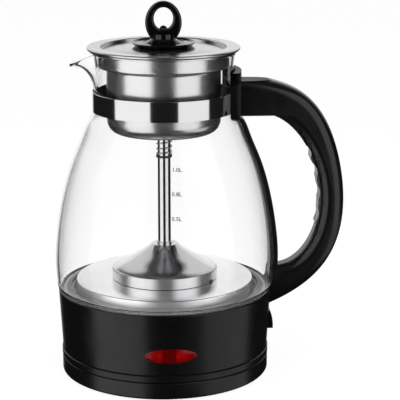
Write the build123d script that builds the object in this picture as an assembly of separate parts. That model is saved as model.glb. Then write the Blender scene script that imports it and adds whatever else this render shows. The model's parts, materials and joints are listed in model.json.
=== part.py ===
"""Automatic steam-spray tea maker of the one litre class, as separate pieces at real size.

Millimetres, +Z up. The origin is on the jug's axis at the table. +X points to the handle,
-X to the pouring beak, -Y to the indicator lamp and +Y to the cord outlet.
"""
from build123d import *
import math
import os

# ---------------------------------------------------------------- clearances and sheets
BODY_GAP = 0.3          # left between pieces that lift off one another or move apart
RUNNING = 0.05          # radial clearance of a shaft that runs in a hole
FIT = 0.1               # left round a piece that is set into another
STEEL = 0.7             # pressed stainless sheet
LID_STEEL = 0.8         # sheet of the lid

# ---------------------------------------------------------------- power base
FOOT_PROUD = 1.2        # rubber foot below the base plate
FOOT_SUNK = 0.8         # rubber foot inside its pocket
FOOT_R = 6.0
FOOT_RING_IN = 14.8     # circle of the feet and of the base screws, inside the base's wall
BASE_OVER = 0.5         # base wider than the foot of the housing
BASE_H = 12.0           # from the plate's underside to the top face
BASE_WALL = 2.2
BASE_ROUND = 1.8        # rounded lower edge
BASE_SHOULDER = 0.8     # rounded upper edge
PLATE_T = 2.0
TOWER_R = 15.0          # central connector tower
TOWER_RISE = 11.8       # tower above the base's top face
TOWER_FLANGE_R = 20.0
TOWER_FLANGE_T = 2.2
PIN_HOLE_R = 2.6        # centre socket of the tower
RING_IN = 8.5           # ring groove of the tower
RING_OUT = 10.7
CONTACT_LOW = 14.0      # floor of socket and groove
CONTACT_H = 4.5         # brass in the socket and in the groove
CONTACT_SIDE = 0.4      # clearance of pin and blade in socket and groove
CORD_BORE_R = 3.0       # cord outlet
GLAND_R = 5.0
GLAND_NECK_R = 3.8
GLAND_TIP_R = 4.3
GLAND_OUT = 9.0         # boot outside the wall
GLAND_FLANGE = 2.0      # flange inside the wall
GLAND_FLANGE_W = 14.0
BASE_BOSS_R = 3.4
BASE_SCREW_SHORT = 1.0  # screw's tip below the top wall
SCREW_R = 1.4
SCREW_HEAD_R = 2.8
SCREW_HEAD_T = 1.0
BASE_SCREW_ANGLES = (30, 150, 270)
FOOT_ANGLES = (45, 135, 225, 315)

# ---------------------------------------------------------------- jug: heater housing
LIP_OVER = 0.7          # flared foot ring of the jug, wider than the housing
LIP_H = 5.0
COVER_T = 2.4
SPIGOT_H = 5.0
SPIGOT_T = 2.0
HOUSING_LOW_R = 74.3
HOUSING_FLARE = 2.5     # housing wider at its top
HOUSING_H = 44.1
HOUSING_WALL = 2.4
GROOVE = 0.5            # broken edges that make the seam lines
SHELF_W = 6.5           # shelf that carries the heater plate's flange
SHELF_DROP = 5.0        # shelf's top face below the housing's rim
SHELF_T = 3.0
BOSS_R = 4.0
BOSS_IN_WALL = 0.8      # boss sunk into the housing's wall
BOSS_H = 16.0
BOSS_END = 2.0          # boss above the screw's tip
BOSS_ANGLES = (60, 180, 300)

# ---------------------------------------------------------------- heater
HEATER_SHEET = 0.8
GUTTER_W = 8.8          # flange round the plateau's foot
PLATEAU_DRAFT = 0.7     # plateau's wall leans in by this
PLATEAU_RISE = 11.4     # plateau above the heater plate's underside
HEATER_SIDE = 1.4       # clearance of the heater's flange in the housing
DIFFUSER_SIDE = 7.5     # diffuser inside the plateau's edge
DIFFUSER_T = 2.5
ELEMENT_IN = 10.0       # heating ring's line inside the diffuser's edge
ELEMENT_R = 3.3
ELEMENT_ARC = 320       # degrees of the ring
TERMINAL_TURN = 3.0     # degrees from the ring's end
TERMINAL_R = 1.6
TERMINAL_DROP = 12.0
FUSE_R = 2.0
FUSE_L = 12.0
FUSE_X = -28.0
THERMOSTAT_R = 12.0
DISC_R = 9.5
DISC_T = 1.0
CONNECTOR_R = 20.0
CONNECTOR_FLANGE_R = 25.0
CONNECTOR_FLANGE_T = 2.2
CONNECTOR_BLOCK = 8.4   # solid block above the tower's cavity
CONNECTOR_SIDE = 0.6    # clearance round the tower
CONTACT_GRIP = 6.0      # length of pin and blade held in the block

# ---------------------------------------------------------------- glass jug
GLASS = 2.0             # wall
SEAL_H = 3.6
SEAL_FROM_WALL = 1.8    # seal clear of the plateau's wall
SEAL_OVER = 0.2         # seal over the heater's flange
HEEL_R = 7.0            # rounded heel of the glass
HEEL_IN = 7.5           # centre of the heel's round inside the belly
GLASS_FOOT_SIDE = 1.6   # inner edge of the in-turned foot, outside the seal's
BELLY_OVER = 1.6        # belly wider than the housing's top
BELLY_H = 15.8          # belly above the glass foot
SHOULDER_H = 113.6      # from belly to the neck
SHOULDER_POWER = 2.15   # how late the side falls in towards the neck
NECK_R = 49.2
NECK_H = 24.6           # straight neck
MOUTH_FLARE = 1.4       # mouth wider than the neck
FLARE_H = 17.0          # flare from the neck to the mouth's rim
BEAK_REACH = 65.0       # tip of the beak from the axis
BEAK_TIP_DROP = 9.0     # tip below the mouth
BEAK_ROOT = 44.0        # where it starts, inside the neck's hollow
BEAK_HALF_W = 16.0      # at its root
BEAK_DEPTH = 29.0       # at its root
BEAK_MID_W = 0.57       # shares of width and depth halfway out
BEAK_MID_DEPTH = 0.405
BEAK_MID_DROP = 1.2
BEAK_TIP_HALF_W = 3.0
BEAK_TIP_H = 3.0
BEAK_RIM = 0.4          # upright rim of the beak

# ---------------------------------------------------------------- neck band and handle
BAND = 0.7
BAND_H = 13.9
LINER_T = 0.8           # clear liner between glass and band
EAR_L = 8.0
EAR_GAP = 3.0
EAR_H = 9.0
SADDLE_T = 4.2          # saddle of the handle round the neck
SADDLE_HALF_W = 23.0
SADDLE_BELOW = 5.3      # saddle below and above the band
SADDLE_ABOVE = 14.3
SADDLE_ROUND = 2.0
HANDLE_OUT = 52.2       # outermost point of the grip from the housing's rim
HANDLE_DEPTH = 23.0     # across, along Y
HANDLE_ROUND = 7.5
ARM_TOP_ABOVE = 7.1     # arm's top above the band's upper edge
FOOT_LOW = 14.0         # lowest point of the handle below the housing's rim
STRIP_T = 3.3
STRIP_W = 16.0
STRIP_LOW = 7.4         # strip's lower end above the housing's rim
STRIP_HIGH = 3.3        # strip's upper end below the band
INSERT_T = 5.0          # soft insert inside the grip
INSERT_W = 15.0
INSERT_PROUD = 1.2      # insert above the grip's inner face
INSERT_FROM = 0.27      # shares of the inner outline's length
INSERT_TO = 0.69
INSERT_STATIONS = 8
FINGER_DEPTH = 1.0
FINGER_COUNT = 4
FINGER_R = 10.1
HANDLE_SCREW_R = 1.7
HANDLE_SCREW_L = 4.6    # reach beyond the housing's inner face
HANDLE_SCREW_HEAD_R = 2.6
HANDLE_SCREW_Y = 4.0
HANDLE_SCREW_DROP = 11.3    # below the housing's rim
HANDLE_SCREW_HEAD_T = 2.0
BAND_SCREW_R = 1.5
BAND_SCREW_HEAD_R = 2.8
BAND_SCREW_L = 15.0
BAND_SCREW_HEAD_T = 2.0

# Control points of the handle's outline: shares of its reach from the housing's rim, and of its
# height from its lowest point.
GRIP_OUTER = ((-0.0539, 1.0), (1.015, 0.9241), (0.7599, 0.7249), (1.435, 0.3404), (0.9377, 0.132), (0.0096, 0.0))
GRIP_INNER = ((-0.0731, 0.85), (0.5102, 0.8208), (0.8382, 0.5118), (0.7432, 0.429), (0.6181, 0.1847), (0.09, 0.1704))
FOOT_RUN = 20.0         # how far the foot is drawn on into the housing before it is trimmed

# ---------------------------------------------------------------- indicator lamp and switch
LENS_HALF_W = 18.1
LENS_HALF_H = 5.25
LENS_Z = 14.5           # centre above the housing's lower edge
LENS_PROUD = 0.8
LENS_FLANGE = 1.5
LAMP_R = 3.0
LAMP_L = 22.0
HOLDER_HALF_W = 15.0
HOLDER_HALF_H = 7.0
HOLDER_DEPTH = 9.0
HOLDER_WALL = 1.2
SWITCH_DROP = 27.1      # pivot below the housing's rim
SWITCH_PIVOT_IN = 4.7   # pivot inside the housing's outer face
PADDLE_TOP = (6.1, 6.7)     # outer corners of the paddle, from its pivot
PADDLE_LOW = (8.1, -6.6)
PADDLE_T = 4.1
PADDLE_BOW = 0.7        # crown of its face
PADDLE_HALF_W = 6.2
HUB_R = 3.0
SWITCH_PIN_R = 1.0
SWITCH_SIDE = 0.4
WINDOW_HALF_H = 9.0
CASE_WALL = 1.4
CASE_DEPTH = 12.0

# ---------------------------------------------------------------- basket and steam tube
BASKET_FLANGE_OVER = 1.4    # flange wider than the mouth
DRUM_SIDE = 4.2         # drum inside the mouth's outer edge
DRUM_H = 10.8
POUR_GAP = 8.8          # cup inside the neck's outer face, so that tea pours past it
CUP_H = 47.0
STEP_ROUND = 2.0
CUP_ROUND = 9.0
HOLE_R = 1.1
HOLE_PITCH = 6.0
HOLE_FIELD = (11.5, 30.0)
TUBE_R = 4.6
TUBE_WALL = 0.9
BUSH_R = 5.8
BUSH_LIP_R = 6.5
BUSH_LIP_T = 1.5
BUSH_HEAD_R = 7.5
BUSH_HEAD_T = 1.8
BEAD_R = 5.6            # rolled bead that stops the tube above the bush
BEAD_FREE = 2.0
SPRING_WIRE_R = 0.5
SPRING_MEAN_R = 5.4
SPRING_H = 15.8
SPRING_TURNS = 4
SEAT_R = 5.75
SEAT_T = 1.4
TUBE_ABOVE_BUSH = 34.0
CAP_R = 8.0
CAP_H = 9.0
CAP_WALL = 1.2
CAP_SLOTS = 6
CAP_SLOT_W = 3.0
CAP_SEAT = 1.0          # ring that grips the tube

# ---------------------------------------------------------------- steam bell
BELL_R = 37.8
BELL_CROWN_R = 9.3
BELL_H = 24.4
SKIRT_H = 8.0
BRIM_ROUND = 1.2
FLARE_MID = (0.45, 0.45)    # a point of the hollow flare: shares of its width and height
FLARE_START = (1, -1.1)     # its slopes at crown and brim
FLARE_END = (1, -0.3)
COLLAR_R = 5.6
COLLAR_H = 1.6
NOTCHES = 2
NOTCH_W = 5.0
NOTCH_H = 1.6
NOTCH_TURN = -31.6

# ---------------------------------------------------------------- lid and knob
LID_OVER = 2.0          # lid wider than the basket's flange
LID_ROLL = 1.2
RECESS_DEPTH = 3.0      # sunk middle of the lid below its flat rim
RECESS_ROUND = 1.0      # rounded edge of the sunk middle
LID_CROWN = 3.7         # dome above the floor of the sunk middle
PLUG_H = 5.5
PLUG_SIDE = 0.6         # clearance of the lid's plug in the basket
SAUCER_R = 22.6
SAUCER_T = 1.3
SAUCER_DISH = 0.9
KNOB_NECK_R = 9.2
RING_HALF_W = 12.8
RING_HALF_H = 15.0
RING_CENTRE = 15.8      # centre of the ring above the saucer's underside
FINGER_HALF_W = 6.8
FINGER_HALF_H = 7.8
FINGER_RISE = 2.8       # finger hole's centre above the ring's
RING_DEPTH = 7.6
RING_EDGE = 1.6
BUTTON_R = 2.8
SAUCER_EDGE = 0.4       # broken edge of the saucer
SAUCER_FLOOR_IN = 3.0   # flat floor inside the saucer's edge
WAIST_FOOT = 3.0        # waist wider than the neck at its foot
WAIST_RISE = 2.6        # neck above the saucer's floor
WAIST_H = 4.0
WAIST_FALL = 1.2        # waist narrower at its top
LID_SCREW_R = 2.0
LID_SCREW_HEAD_R = 4.0
LID_SCREW_HEAD_T = 2.2
LID_SCREW_L = 8.0
WASHER_R = 6.0
WASHER_T = 1.0

# ---------------------------------------------------------------- radii worked out from the sizes
BASE_R = HOUSING_LOW_R + BASE_OVER
FOOT_RING_R = BASE_R - FOOT_RING_IN
LIP_R = HOUSING_LOW_R + LIP_OVER
HOUSING_TOP_R = HOUSING_LOW_R + HOUSING_FLARE
HEATER_FLANGE_R = HOUSING_TOP_R - HOUSING_WALL - HEATER_SIDE
SHELF_IN = HEATER_FLANGE_R - SHELF_W
PLATEAU_R = HEATER_FLANGE_R - GUTTER_W
PLATEAU_TOP_R = PLATEAU_R - PLATEAU_DRAFT
DIFFUSER_R = PLATEAU_TOP_R - DIFFUSER_SIDE
ELEMENT_RING_R = DIFFUSER_R - ELEMENT_IN
SEAL_IN = PLATEAU_R + SEAL_FROM_WALL
SEAL_OUT = HEATER_FLANGE_R + SEAL_OVER
BELLY_R = HOUSING_TOP_R + BELLY_OVER
HEEL_CENTRE_R = BELLY_R - HEEL_IN
GLASS_FOOT_IN = SEAL_IN + GLASS_FOOT_SIDE
HANDLE_REACH = HOUSING_TOP_R + HANDLE_OUT
MOUTH_R = NECK_R + MOUTH_FLARE
CUP_R = NECK_R - POUR_GAP
DRUM_R = MOUTH_R - DRUM_SIDE
BASKET_FLANGE_R = MOUTH_R + BASKET_FLANGE_OVER
LID_R = BASKET_FLANGE_R + LID_OVER

# ---------------------------------------------------------------- levels worked out from the sizes
BASE_TOP = FOOT_PROUD + BASE_H
TOWER_TOP = BASE_TOP + TOWER_RISE
CONTACT_TOP = CONTACT_LOW + CONTACT_H
JUG_LOW = BASE_TOP + BODY_GAP
COVER_TOP = JUG_LOW + COVER_T
LIP_TOP = JUG_LOW + LIP_H
RIM = LIP_TOP + HOUSING_H
BOSS_RING_R = HOUSING_LOW_R - HOUSING_WALL - BOSS_R + BOSS_IN_WALL
SHELF = RIM - SHELF_DROP
PLATE_TOP = SHELF + PLATEAU_RISE
PLATE_UNDER = PLATE_TOP - HEATER_SHEET
DIFFUSER_LOW = PLATE_UNDER - DIFFUSER_T
SEAL_LOW = SHELF + HEATER_SHEET
GLASS_LOW = SEAL_LOW + SEAL_H
HEEL_Z = GLASS_LOW + HEEL_R
BELLY_Z = GLASS_LOW + BELLY_H
NECK_LOW = BELLY_Z + SHOULDER_H
NECK_TOP = NECK_LOW + NECK_H
MOUTH = NECK_TOP + FLARE_H
BAND_LOW = NECK_LOW
BAND_TOP = BAND_LOW + BAND_H
BAND_IN = NECK_R + LINER_T
BAND_OUT = BAND_IN + BAND
SADDLE_OUT = BAND_OUT + SADDLE_T
SADDLE_LOW = BAND_LOW - SADDLE_BELOW
SADDLE_TOP = BAND_TOP + SADDLE_ABOVE
ARM_TOP = BAND_TOP + ARM_TOP_ABOVE
HANDLE_TIP = RIM - FOOT_LOW
CAVITY_TOP = TOWER_TOP + CONNECTOR_SIDE
CONNECTOR_TOP = CAVITY_TOP + CONNECTOR_BLOCK
FLANGE_Z = MOUTH + BODY_GAP
FLANGE_TOP = FLANGE_Z + STEEL
CUP_LOW = FLANGE_Z - DRUM_H - CUP_H
BUSH_LOW = CUP_LOW - BUSH_LIP_T
BUSH_TOP = CUP_LOW + STEEL + BUSH_HEAD_T
SPRING_LOW = BUSH_LOW - SPRING_H
BELL_LOW = PLATE_TOP + BODY_GAP
BELL_TOP = BELL_LOW + BELL_H
TUBE_TOP = BUSH_TOP + TUBE_ABOVE_BUSH
LENS_LEVEL = LIP_TOP + LENS_Z
SWITCH_LEVEL = RIM - SWITCH_DROP
LID_LOW = FLANGE_TOP + BODY_GAP
LID_EDGE = LID_LOW + 2 * LID_ROLL
PLUG_R = DRUM_R - STEEL - PLUG_SIDE
RECESS_R = PLUG_R - LID_STEEL
RECESS_Z = LID_EDGE - RECESS_DEPTH
LID_TOP = RECESS_Z + LID_CROWN
KNOB_LOW = LID_TOP
DOME_FALL = LID_CROWN * (WASHER_R / RECESS_R) ** 2
LID_UNDER = LID_TOP - LID_STEEL - DOME_FALL


# ---------------------------------------------------------------- helpers
def rod(radius, low, high):
    """Round bar on the jug's axis between two levels."""
    return Pos(0, 0, low) * Cylinder(radius, high - low, align=(Align.CENTER, Align.CENTER, Align.MIN))


def pipe(outer, inner, low, high):
    """Round tube on the jug's axis between two levels."""
    return rod(outer, low, high) - rod(inner, low, high)


def slab(x_span, y_span, z_span):
    """Box between two values on each axis."""
    size = [span[1] - span[0] for span in (x_span, y_span, z_span)]
    centre = [(span[0] + span[1]) / 2 for span in (x_span, y_span, z_span)]
    return Pos(*centre) * Box(*size)


def turned(*edges):
    """Solid turned about the jug's axis from a closed outline of (radius, height) edges."""
    return revolve(Plane.XZ * make_face(edges), Axis.Z)


def turned_polygon(*points):
    """Solid turned about the jug's axis from the corners of its outline."""
    return turned(Polyline(*points, close=True))


def pressed(corners, bends, sheet):
    """Turned sheet: its lower line runs through the corners, with a bend radius at each one."""
    line = FilletPolyline(*corners, radius=bends)
    return revolve(Plane.XZ * make_face(offset(line, sheet, side=Side.LEFT)), Axis.Z)


def ring_edges(shape, radius, level):
    """Round edges of a shape with one radius at one level."""
    circles = shape.edges().filter_by(GeomType.CIRCLE)
    return circles.filter_by(lambda e: abs(e.radius - radius) < FIT / 2 and abs(e.center().Z - level) < FIT / 2)


def placed(shape, radius, angles):
    """Copies of a shape on a circle, turned to face outwards."""
    return [Rot(0, 0, angle) * Pos(radius, 0, 0) * shape for angle in angles]


def group(pieces):
    """Separate solids that share one node."""
    return Compound(children=[Solid(piece.solids()[0].wrapped) for piece in pieces])


# ---------------------------------------------------------------- power base
def base_screw_holes(radius, low, high):
    """Bars where the base screws pass."""
    return placed(rod(radius, low, high), FOOT_RING_R, BASE_SCREW_ANGLES)


def gland_flange():
    """Inner flange of the gland, bent to the wall and held between plate and top wall."""
    wall_in = BASE_R - BASE_WALL
    half_h = (BASE_H - BASE_WALL - PLATE_T) / 2
    middle = gland_level()
    return slab((-GLAND_FLANGE_W / 2, GLAND_FLANGE_W / 2), (wall_in - 2 * GLAND_FLANGE, wall_in),
                (middle - half_h, middle + half_h)) & pipe(wall_in, wall_in - GLAND_FLANGE, 0, BASE_TOP)


def gland_level():
    """Height of the cord outlet's axis, midway between plate and top wall."""
    return FOOT_PROUD + PLATE_T + (BASE_H - BASE_WALL - PLATE_T) / 2


def along_y(radius, start, end, level):
    """Round bar along +Y at a level."""
    return Pos(0, start, level) * Rot(-90, 0, 0) * Cylinder(
        radius, end - start, align=(Align.CENTER, Align.CENTER, Align.MIN))


def power_base_shell():
    shell = rod(BASE_R, FOOT_PROUD, BASE_TOP)
    shell = fillet(ring_edges(shell, BASE_R, FOOT_PROUD), BASE_ROUND)
    shell = fillet(ring_edges(shell, BASE_R, BASE_TOP), BASE_SHOULDER)
    shell -= rod(BASE_R - BASE_WALL, FOOT_PROUD, BASE_TOP - BASE_WALL)
    shell -= rod(TOWER_R + FIT, FOOT_PROUD, BASE_TOP)
    for boss in base_screw_holes(BASE_BOSS_R, FOOT_PROUD + PLATE_T, BASE_TOP - BASE_WALL):
        shell += boss
    for hole in base_screw_holes(SCREW_R, FOOT_PROUD, base_screw_top()):
        shell -= hole
    return shell - along_y(GLAND_NECK_R, FOOT_RING_R, BASE_R + 1, gland_level())


def base_screw_top():
    """Tip of the base screws, short of the shell's top wall."""
    return BASE_TOP - BASE_WALL - BASE_SCREW_SHORT


def power_base_plate():
    plate = rod(BASE_R - BASE_WALL - FIT, FOOT_PROUD, FOOT_PROUD + PLATE_T)
    for pocket in placed(rod(FOOT_R, FOOT_PROUD, FOOT_PROUD + FOOT_SUNK), FOOT_RING_R, FOOT_ANGLES):
        plate -= pocket
    for hole in base_screw_holes(SCREW_R, FOOT_PROUD, FOOT_PROUD + PLATE_T):
        plate -= hole
    for recess in base_screw_holes(SCREW_HEAD_R, FOOT_PROUD, FOOT_PROUD + SCREW_HEAD_T):
        plate -= recess
    return plate


def base_feet():
    foot = rod(FOOT_R, 0, FOOT_PROUD + FOOT_SUNK)
    foot = chamfer(ring_edges(foot, FOOT_R, 0), FOOT_PROUD / 3)
    return group(placed(foot, FOOT_RING_R, FOOT_ANGLES))


def base_screws():
    low = FOOT_PROUD
    screw = rod(SCREW_HEAD_R, low, low + SCREW_HEAD_T) + rod(SCREW_R, low, base_screw_top())
    screw -= slab((-SCREW_HEAD_R, SCREW_HEAD_R), (-FOOT_SUNK / 2, FOOT_SUNK / 2), (low, low + SCREW_HEAD_T / 2))
    return group(placed(screw, FOOT_RING_R, BASE_SCREW_ANGLES))


def base_connector():
    low = FOOT_PROUD + PLATE_T
    tower = rod(TOWER_FLANGE_R, low, low + TOWER_FLANGE_T) + rod(TOWER_R, low, TOWER_TOP)
    tower = chamfer(ring_edges(tower, TOWER_R, TOWER_TOP), CONNECTOR_SIDE)
    return tower - rod(PIN_HOLE_R, CONTACT_LOW, TOWER_TOP) - pipe(RING_OUT, RING_IN, CONTACT_LOW, TOWER_TOP)


def base_contacts():
    return group([rod(PIN_HOLE_R, CONTACT_LOW, CONTACT_TOP), pipe(RING_OUT, RING_IN, CONTACT_LOW, CONTACT_TOP)])


def cord_gland():
    wall_in = BASE_R - BASE_WALL
    level = gland_level()
    boot = Pos(0, BASE_R - 1, level) * Rot(-90, 0, 0) * Cone(
        GLAND_R, GLAND_TIP_R, GLAND_OUT + 1, align=(Align.CENTER, Align.CENTER, Align.MIN))
    boot -= rod(BASE_R, 0, BASE_TOP)
    boot += along_y(GLAND_NECK_R, wall_in - GLAND_FLANGE / 2, BASE_R + 1, level)
    boot += gland_flange()
    return boot - along_y(CORD_BORE_R, FOOT_RING_R, BASE_R + GLAND_OUT + 1, level)


# ---------------------------------------------------------------- jug: housing
def housing_radius(level, inset=0.0):
    """Radius of the tapered housing at a level."""
    share = (level - LIP_TOP) / HOUSING_H
    return HOUSING_LOW_R + (HOUSING_TOP_R - HOUSING_LOW_R) * share - inset


def lens_prism(margin):
    """Elliptical bar along Y through the lens window."""
    face = Ellipse(LENS_HALF_W + margin, LENS_HALF_H + margin)
    return extrude(Pos(0, -BASE_R - FOOT_RING_R / 2, LENS_LEVEL) * Rot(-90, 0, 0) * face, FOOT_RING_R)


def handle_screw_level():
    """Height of the screws that hold the handle's foot."""
    return RIM - HANDLE_SCREW_DROP


def along_x(radius, start, end, y, level):
    """Round bar along +X."""
    return Pos(start, y, level) * Rot(0, 90, 0) * Cylinder(
        radius, end - start, align=(Align.CENTER, Align.CENTER, Align.MIN))


def heater_housing():
    shelf_low = SHELF - SHELF_T
    housing = turned_polygon(
        (HOUSING_LOW_R, LIP_TOP), (HOUSING_TOP_R, RIM), (HOUSING_TOP_R - HOUSING_WALL, RIM),
        (housing_radius(SHELF, HOUSING_WALL), SHELF), (SHELF_IN, SHELF), (SHELF_IN, shelf_low),
        (housing_radius(shelf_low, HOUSING_WALL), shelf_low), (HOUSING_LOW_R - HOUSING_WALL, LIP_TOP))
    housing = fillet(ring_edges(housing, HOUSING_TOP_R, RIM), HOUSING_WALL / 3)
    housing = chamfer(ring_edges(housing, HOUSING_LOW_R, LIP_TOP), GROOVE)
    for boss in placed(rod(BOSS_R, LIP_TOP, LIP_TOP + BOSS_H), BOSS_RING_R, BOSS_ANGLES):
        housing += boss
    for hole in placed(rod(SCREW_R, LIP_TOP, LIP_TOP + BOSS_H - BOSS_END), BOSS_RING_R, BOSS_ANGLES):
        housing -= hole
    housing -= lens_prism(FIT)
    half_w = PADDLE_HALF_W + SWITCH_SIDE
    housing -= slab((BOSS_RING_R, HOUSING_TOP_R + 1), (-half_w, half_w),
                    (SWITCH_LEVEL - WINDOW_HALF_H, SWITCH_LEVEL + WINDOW_HALF_H))
    for side in (-HANDLE_SCREW_Y, HANDLE_SCREW_Y):
        housing -= along_x(HANDLE_SCREW_R, BOSS_RING_R, HOUSING_TOP_R + 1, side, handle_screw_level())
    return housing


def jug_bottom_cover():
    spigot_out = HOUSING_LOW_R - HOUSING_WALL - FIT
    lip_in = HOUSING_LOW_R - HOUSING_WALL - SPIGOT_T - FIT
    cover = turned_polygon(
        (CONNECTOR_R + FIT, JUG_LOW), (LIP_R, JUG_LOW), (LIP_R, LIP_TOP), (spigot_out, LIP_TOP),
        (spigot_out, LIP_TOP + SPIGOT_H), (lip_in, LIP_TOP + SPIGOT_H), (lip_in, COVER_TOP),
        (CONNECTOR_R + FIT, COVER_TOP))
    cover = chamfer(ring_edges(cover, LIP_R, LIP_TOP), GROOVE)
    cover = chamfer(ring_edges(cover, LIP_R, JUG_LOW), GROOVE)
    for relief in placed(rod(BOSS_R + FIT, COVER_TOP, LIP_TOP + SPIGOT_H), BOSS_RING_R, BOSS_ANGLES):
        cover -= relief
    for post in placed(rod(BOSS_R, JUG_LOW, LIP_TOP), BOSS_RING_R, BOSS_ANGLES):
        cover += post
    for hole in placed(rod(SCREW_R, JUG_LOW, LIP_TOP), BOSS_RING_R, BOSS_ANGLES):
        cover -= hole
    for recess in placed(rod(SCREW_HEAD_R, JUG_LOW, JUG_LOW + SCREW_HEAD_T), BOSS_RING_R, BOSS_ANGLES):
        cover -= recess
    return cover


def housing_screws():
    screw = rod(SCREW_HEAD_R, JUG_LOW, JUG_LOW + SCREW_HEAD_T) + rod(SCREW_R, JUG_LOW, LIP_TOP + BOSS_H - BOSS_END)
    return group(placed(screw, BOSS_RING_R, BOSS_ANGLES))


def jug_connector():
    low = JUG_LOW
    body = rod(CONNECTOR_R, low, CONNECTOR_TOP)
    body += rod(CONNECTOR_FLANGE_R, COVER_TOP, COVER_TOP + CONNECTOR_FLANGE_T)
    body -= rod(TOWER_R + CONNECTOR_SIDE, low, CAVITY_TOP)
    body -= rod(PIN_HOLE_R - CONTACT_SIDE, CAVITY_TOP, CAVITY_TOP + CONTACT_GRIP)
    return body - pipe(RING_OUT - CONTACT_SIDE, RING_IN + CONTACT_SIDE, CAVITY_TOP, CAVITY_TOP + CONTACT_GRIP)


def jug_contacts():
    low = CONTACT_TOP + BODY_GAP
    high = CAVITY_TOP + CONTACT_GRIP
    return group([rod(PIN_HOLE_R - CONTACT_SIDE, low, high),
                  pipe(RING_OUT - CONTACT_SIDE, RING_IN + CONTACT_SIDE, low, high)])


# ---------------------------------------------------------------- heater
def heater_plate():
    wall = HEATER_SHEET
    plate = turned_polygon(
        (0, PLATE_TOP), (PLATEAU_TOP_R, PLATE_TOP), (PLATEAU_R, SEAL_LOW), (HEATER_FLANGE_R, SEAL_LOW),
        (HEATER_FLANGE_R, SHELF), (PLATEAU_R - wall, SHELF), (PLATEAU_TOP_R - wall, PLATE_UNDER),
        (0, PLATE_UNDER))
    return fillet(ring_edges(plate, PLATEAU_TOP_R, PLATE_TOP), HEATER_SHEET)


def heat_diffuser():
    return rod(DIFFUSER_R, DIFFUSER_LOW, PLATE_UNDER)


def heating_element():
    level = DIFFUSER_LOW - ELEMENT_R
    section = Plane.XZ * (Pos(ELEMENT_RING_R, level) * Circle(ELEMENT_R))
    gap = 360 - ELEMENT_ARC
    element = Rot(0, 0, gap / 2) * revolve(section, Axis.Z, ELEMENT_ARC)
    for angle in (gap / 2 + TERMINAL_TURN, -gap / 2 - TERMINAL_TURN):
        terminal = rod(TERMINAL_R, level - TERMINAL_DROP, level)
        element += Rot(0, 0, angle) * Pos(ELEMENT_RING_R, 0, 0) * terminal
    return element


def thermal_fuse():
    level = DIFFUSER_LOW - FUSE_R
    return Pos(FUSE_X, 0, level) * Rot(90, 0, 0) * Cylinder(FUSE_R, FUSE_L)


def thermostat_disc():
    return rod(DISC_R, DIFFUSER_LOW - DISC_T, DIFFUSER_LOW)


def thermostat_body():
    return rod(THERMOSTAT_R, CONNECTOR_TOP, DIFFUSER_LOW - DISC_T)


# ---------------------------------------------------------------- glass jug
def shoulder_point(share, inset):
    """Point of the glass's side between belly and neck."""
    radius = NECK_R + (BELLY_R - NECK_R) * (1 - share ** SHOULDER_POWER)
    return (radius - inset, BELLY_Z + SHOULDER_H * share)


def jug_side(inset):
    """Edges of the glass's side from heel to mouth, drawn inside the outer face by the inset."""
    heel = CenterArc((HEEL_CENTRE_R, HEEL_Z), HEEL_R - inset, -90, 90)
    side = Spline(
        heel @ 1, *[shoulder_point(share, inset) for share in (0, 0.25, 0.5, 0.7, 0.85, 0.95)],
        (NECK_R - inset, NECK_LOW), tangents=((0, 1), (0, 1)))
    neck = Line(side @ 1, (NECK_R - inset, NECK_TOP))
    flare = Spline(neck @ 1, (MOUTH_R - inset, MOUTH - GLASS / 2), tangents=((0, 1), (0.15, 1)))
    return heel, side, neck, flare


def jug_envelope(gap):
    """Solid that fills the jug's outside from its glass foot to its mouth, grown by a gap."""
    edges = jug_side(-gap)
    start = edges[0] @ 0
    end = edges[-1] @ 1
    closing = Polyline(end, (0, end.Y), (0, start.Y), start)
    return turned(*edges, closing)


def beak(inset, lift):
    """Pouring beak as a loft of three bowed sections, open above the rim where it is lifted."""
    mouth = MOUTH - GLASS / 2
    tip = MOUTH - BEAK_TIP_DROP
    middle = (NECK_R + BEAK_REACH) / 2
    stations = (
        (-BEAK_ROOT, BEAK_HALF_W, mouth, MOUTH - BEAK_DEPTH),
        (-middle, BEAK_HALF_W * BEAK_MID_W, mouth - BEAK_MID_DROP, MOUTH - BEAK_MID_DEPTH * BEAK_DEPTH),
        (-BEAK_REACH, BEAK_TIP_HALF_W, tip + BEAK_TIP_H / 2, tip - BEAK_TIP_H / 2))
    sections = []
    for x, half_w, top, low in stations:
        side = half_w - min(inset, half_w / 2)
        floor = low + min(inset, (top - low) * 0.6)
        bow = ThreePointArc((-side, top), (0, floor), (side, top))
        rim = Polyline(bow @ 1, (side, top + lift), (-side, top + lift), bow @ 0)
        sections.append(Plane((x, 0, 0), x_dir=(0, 1, 0), z_dir=(1, 0, 0)) * make_face([bow, rim]))
    return loft(sections)


def glass_jug():
    outer = jug_side(0)
    inner = jug_side(GLASS)
    top = ThreePointArc(outer[-1] @ 1, (MOUTH_R - GLASS / 2, MOUTH), inner[-1] @ 1)
    foot = Polyline(outer[0] @ 0, (GLASS_FOOT_IN, GLASS_LOW), (GLASS_FOOT_IN, GLASS_LOW + GLASS), inner[0] @ 0)
    glass = turned(*outer, *inner, top, foot)
    edges = jug_side(GLASS)
    end = edges[-1] @ 1
    start = edges[0] @ 0
    hollow = turned(*edges, Polyline(end, (end.X, MOUTH + BEAK_DEPTH), (0, MOUTH + BEAK_DEPTH), (0, start.Y), start))
    return (glass + beak(0, BEAK_RIM)) - hollow - beak(GLASS, BEAK_DEPTH)


def glass_seal():
    seal = pipe(SEAL_OUT, SEAL_IN, SEAL_LOW, GLASS_LOW)
    return seal - jug_envelope(0)


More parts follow.
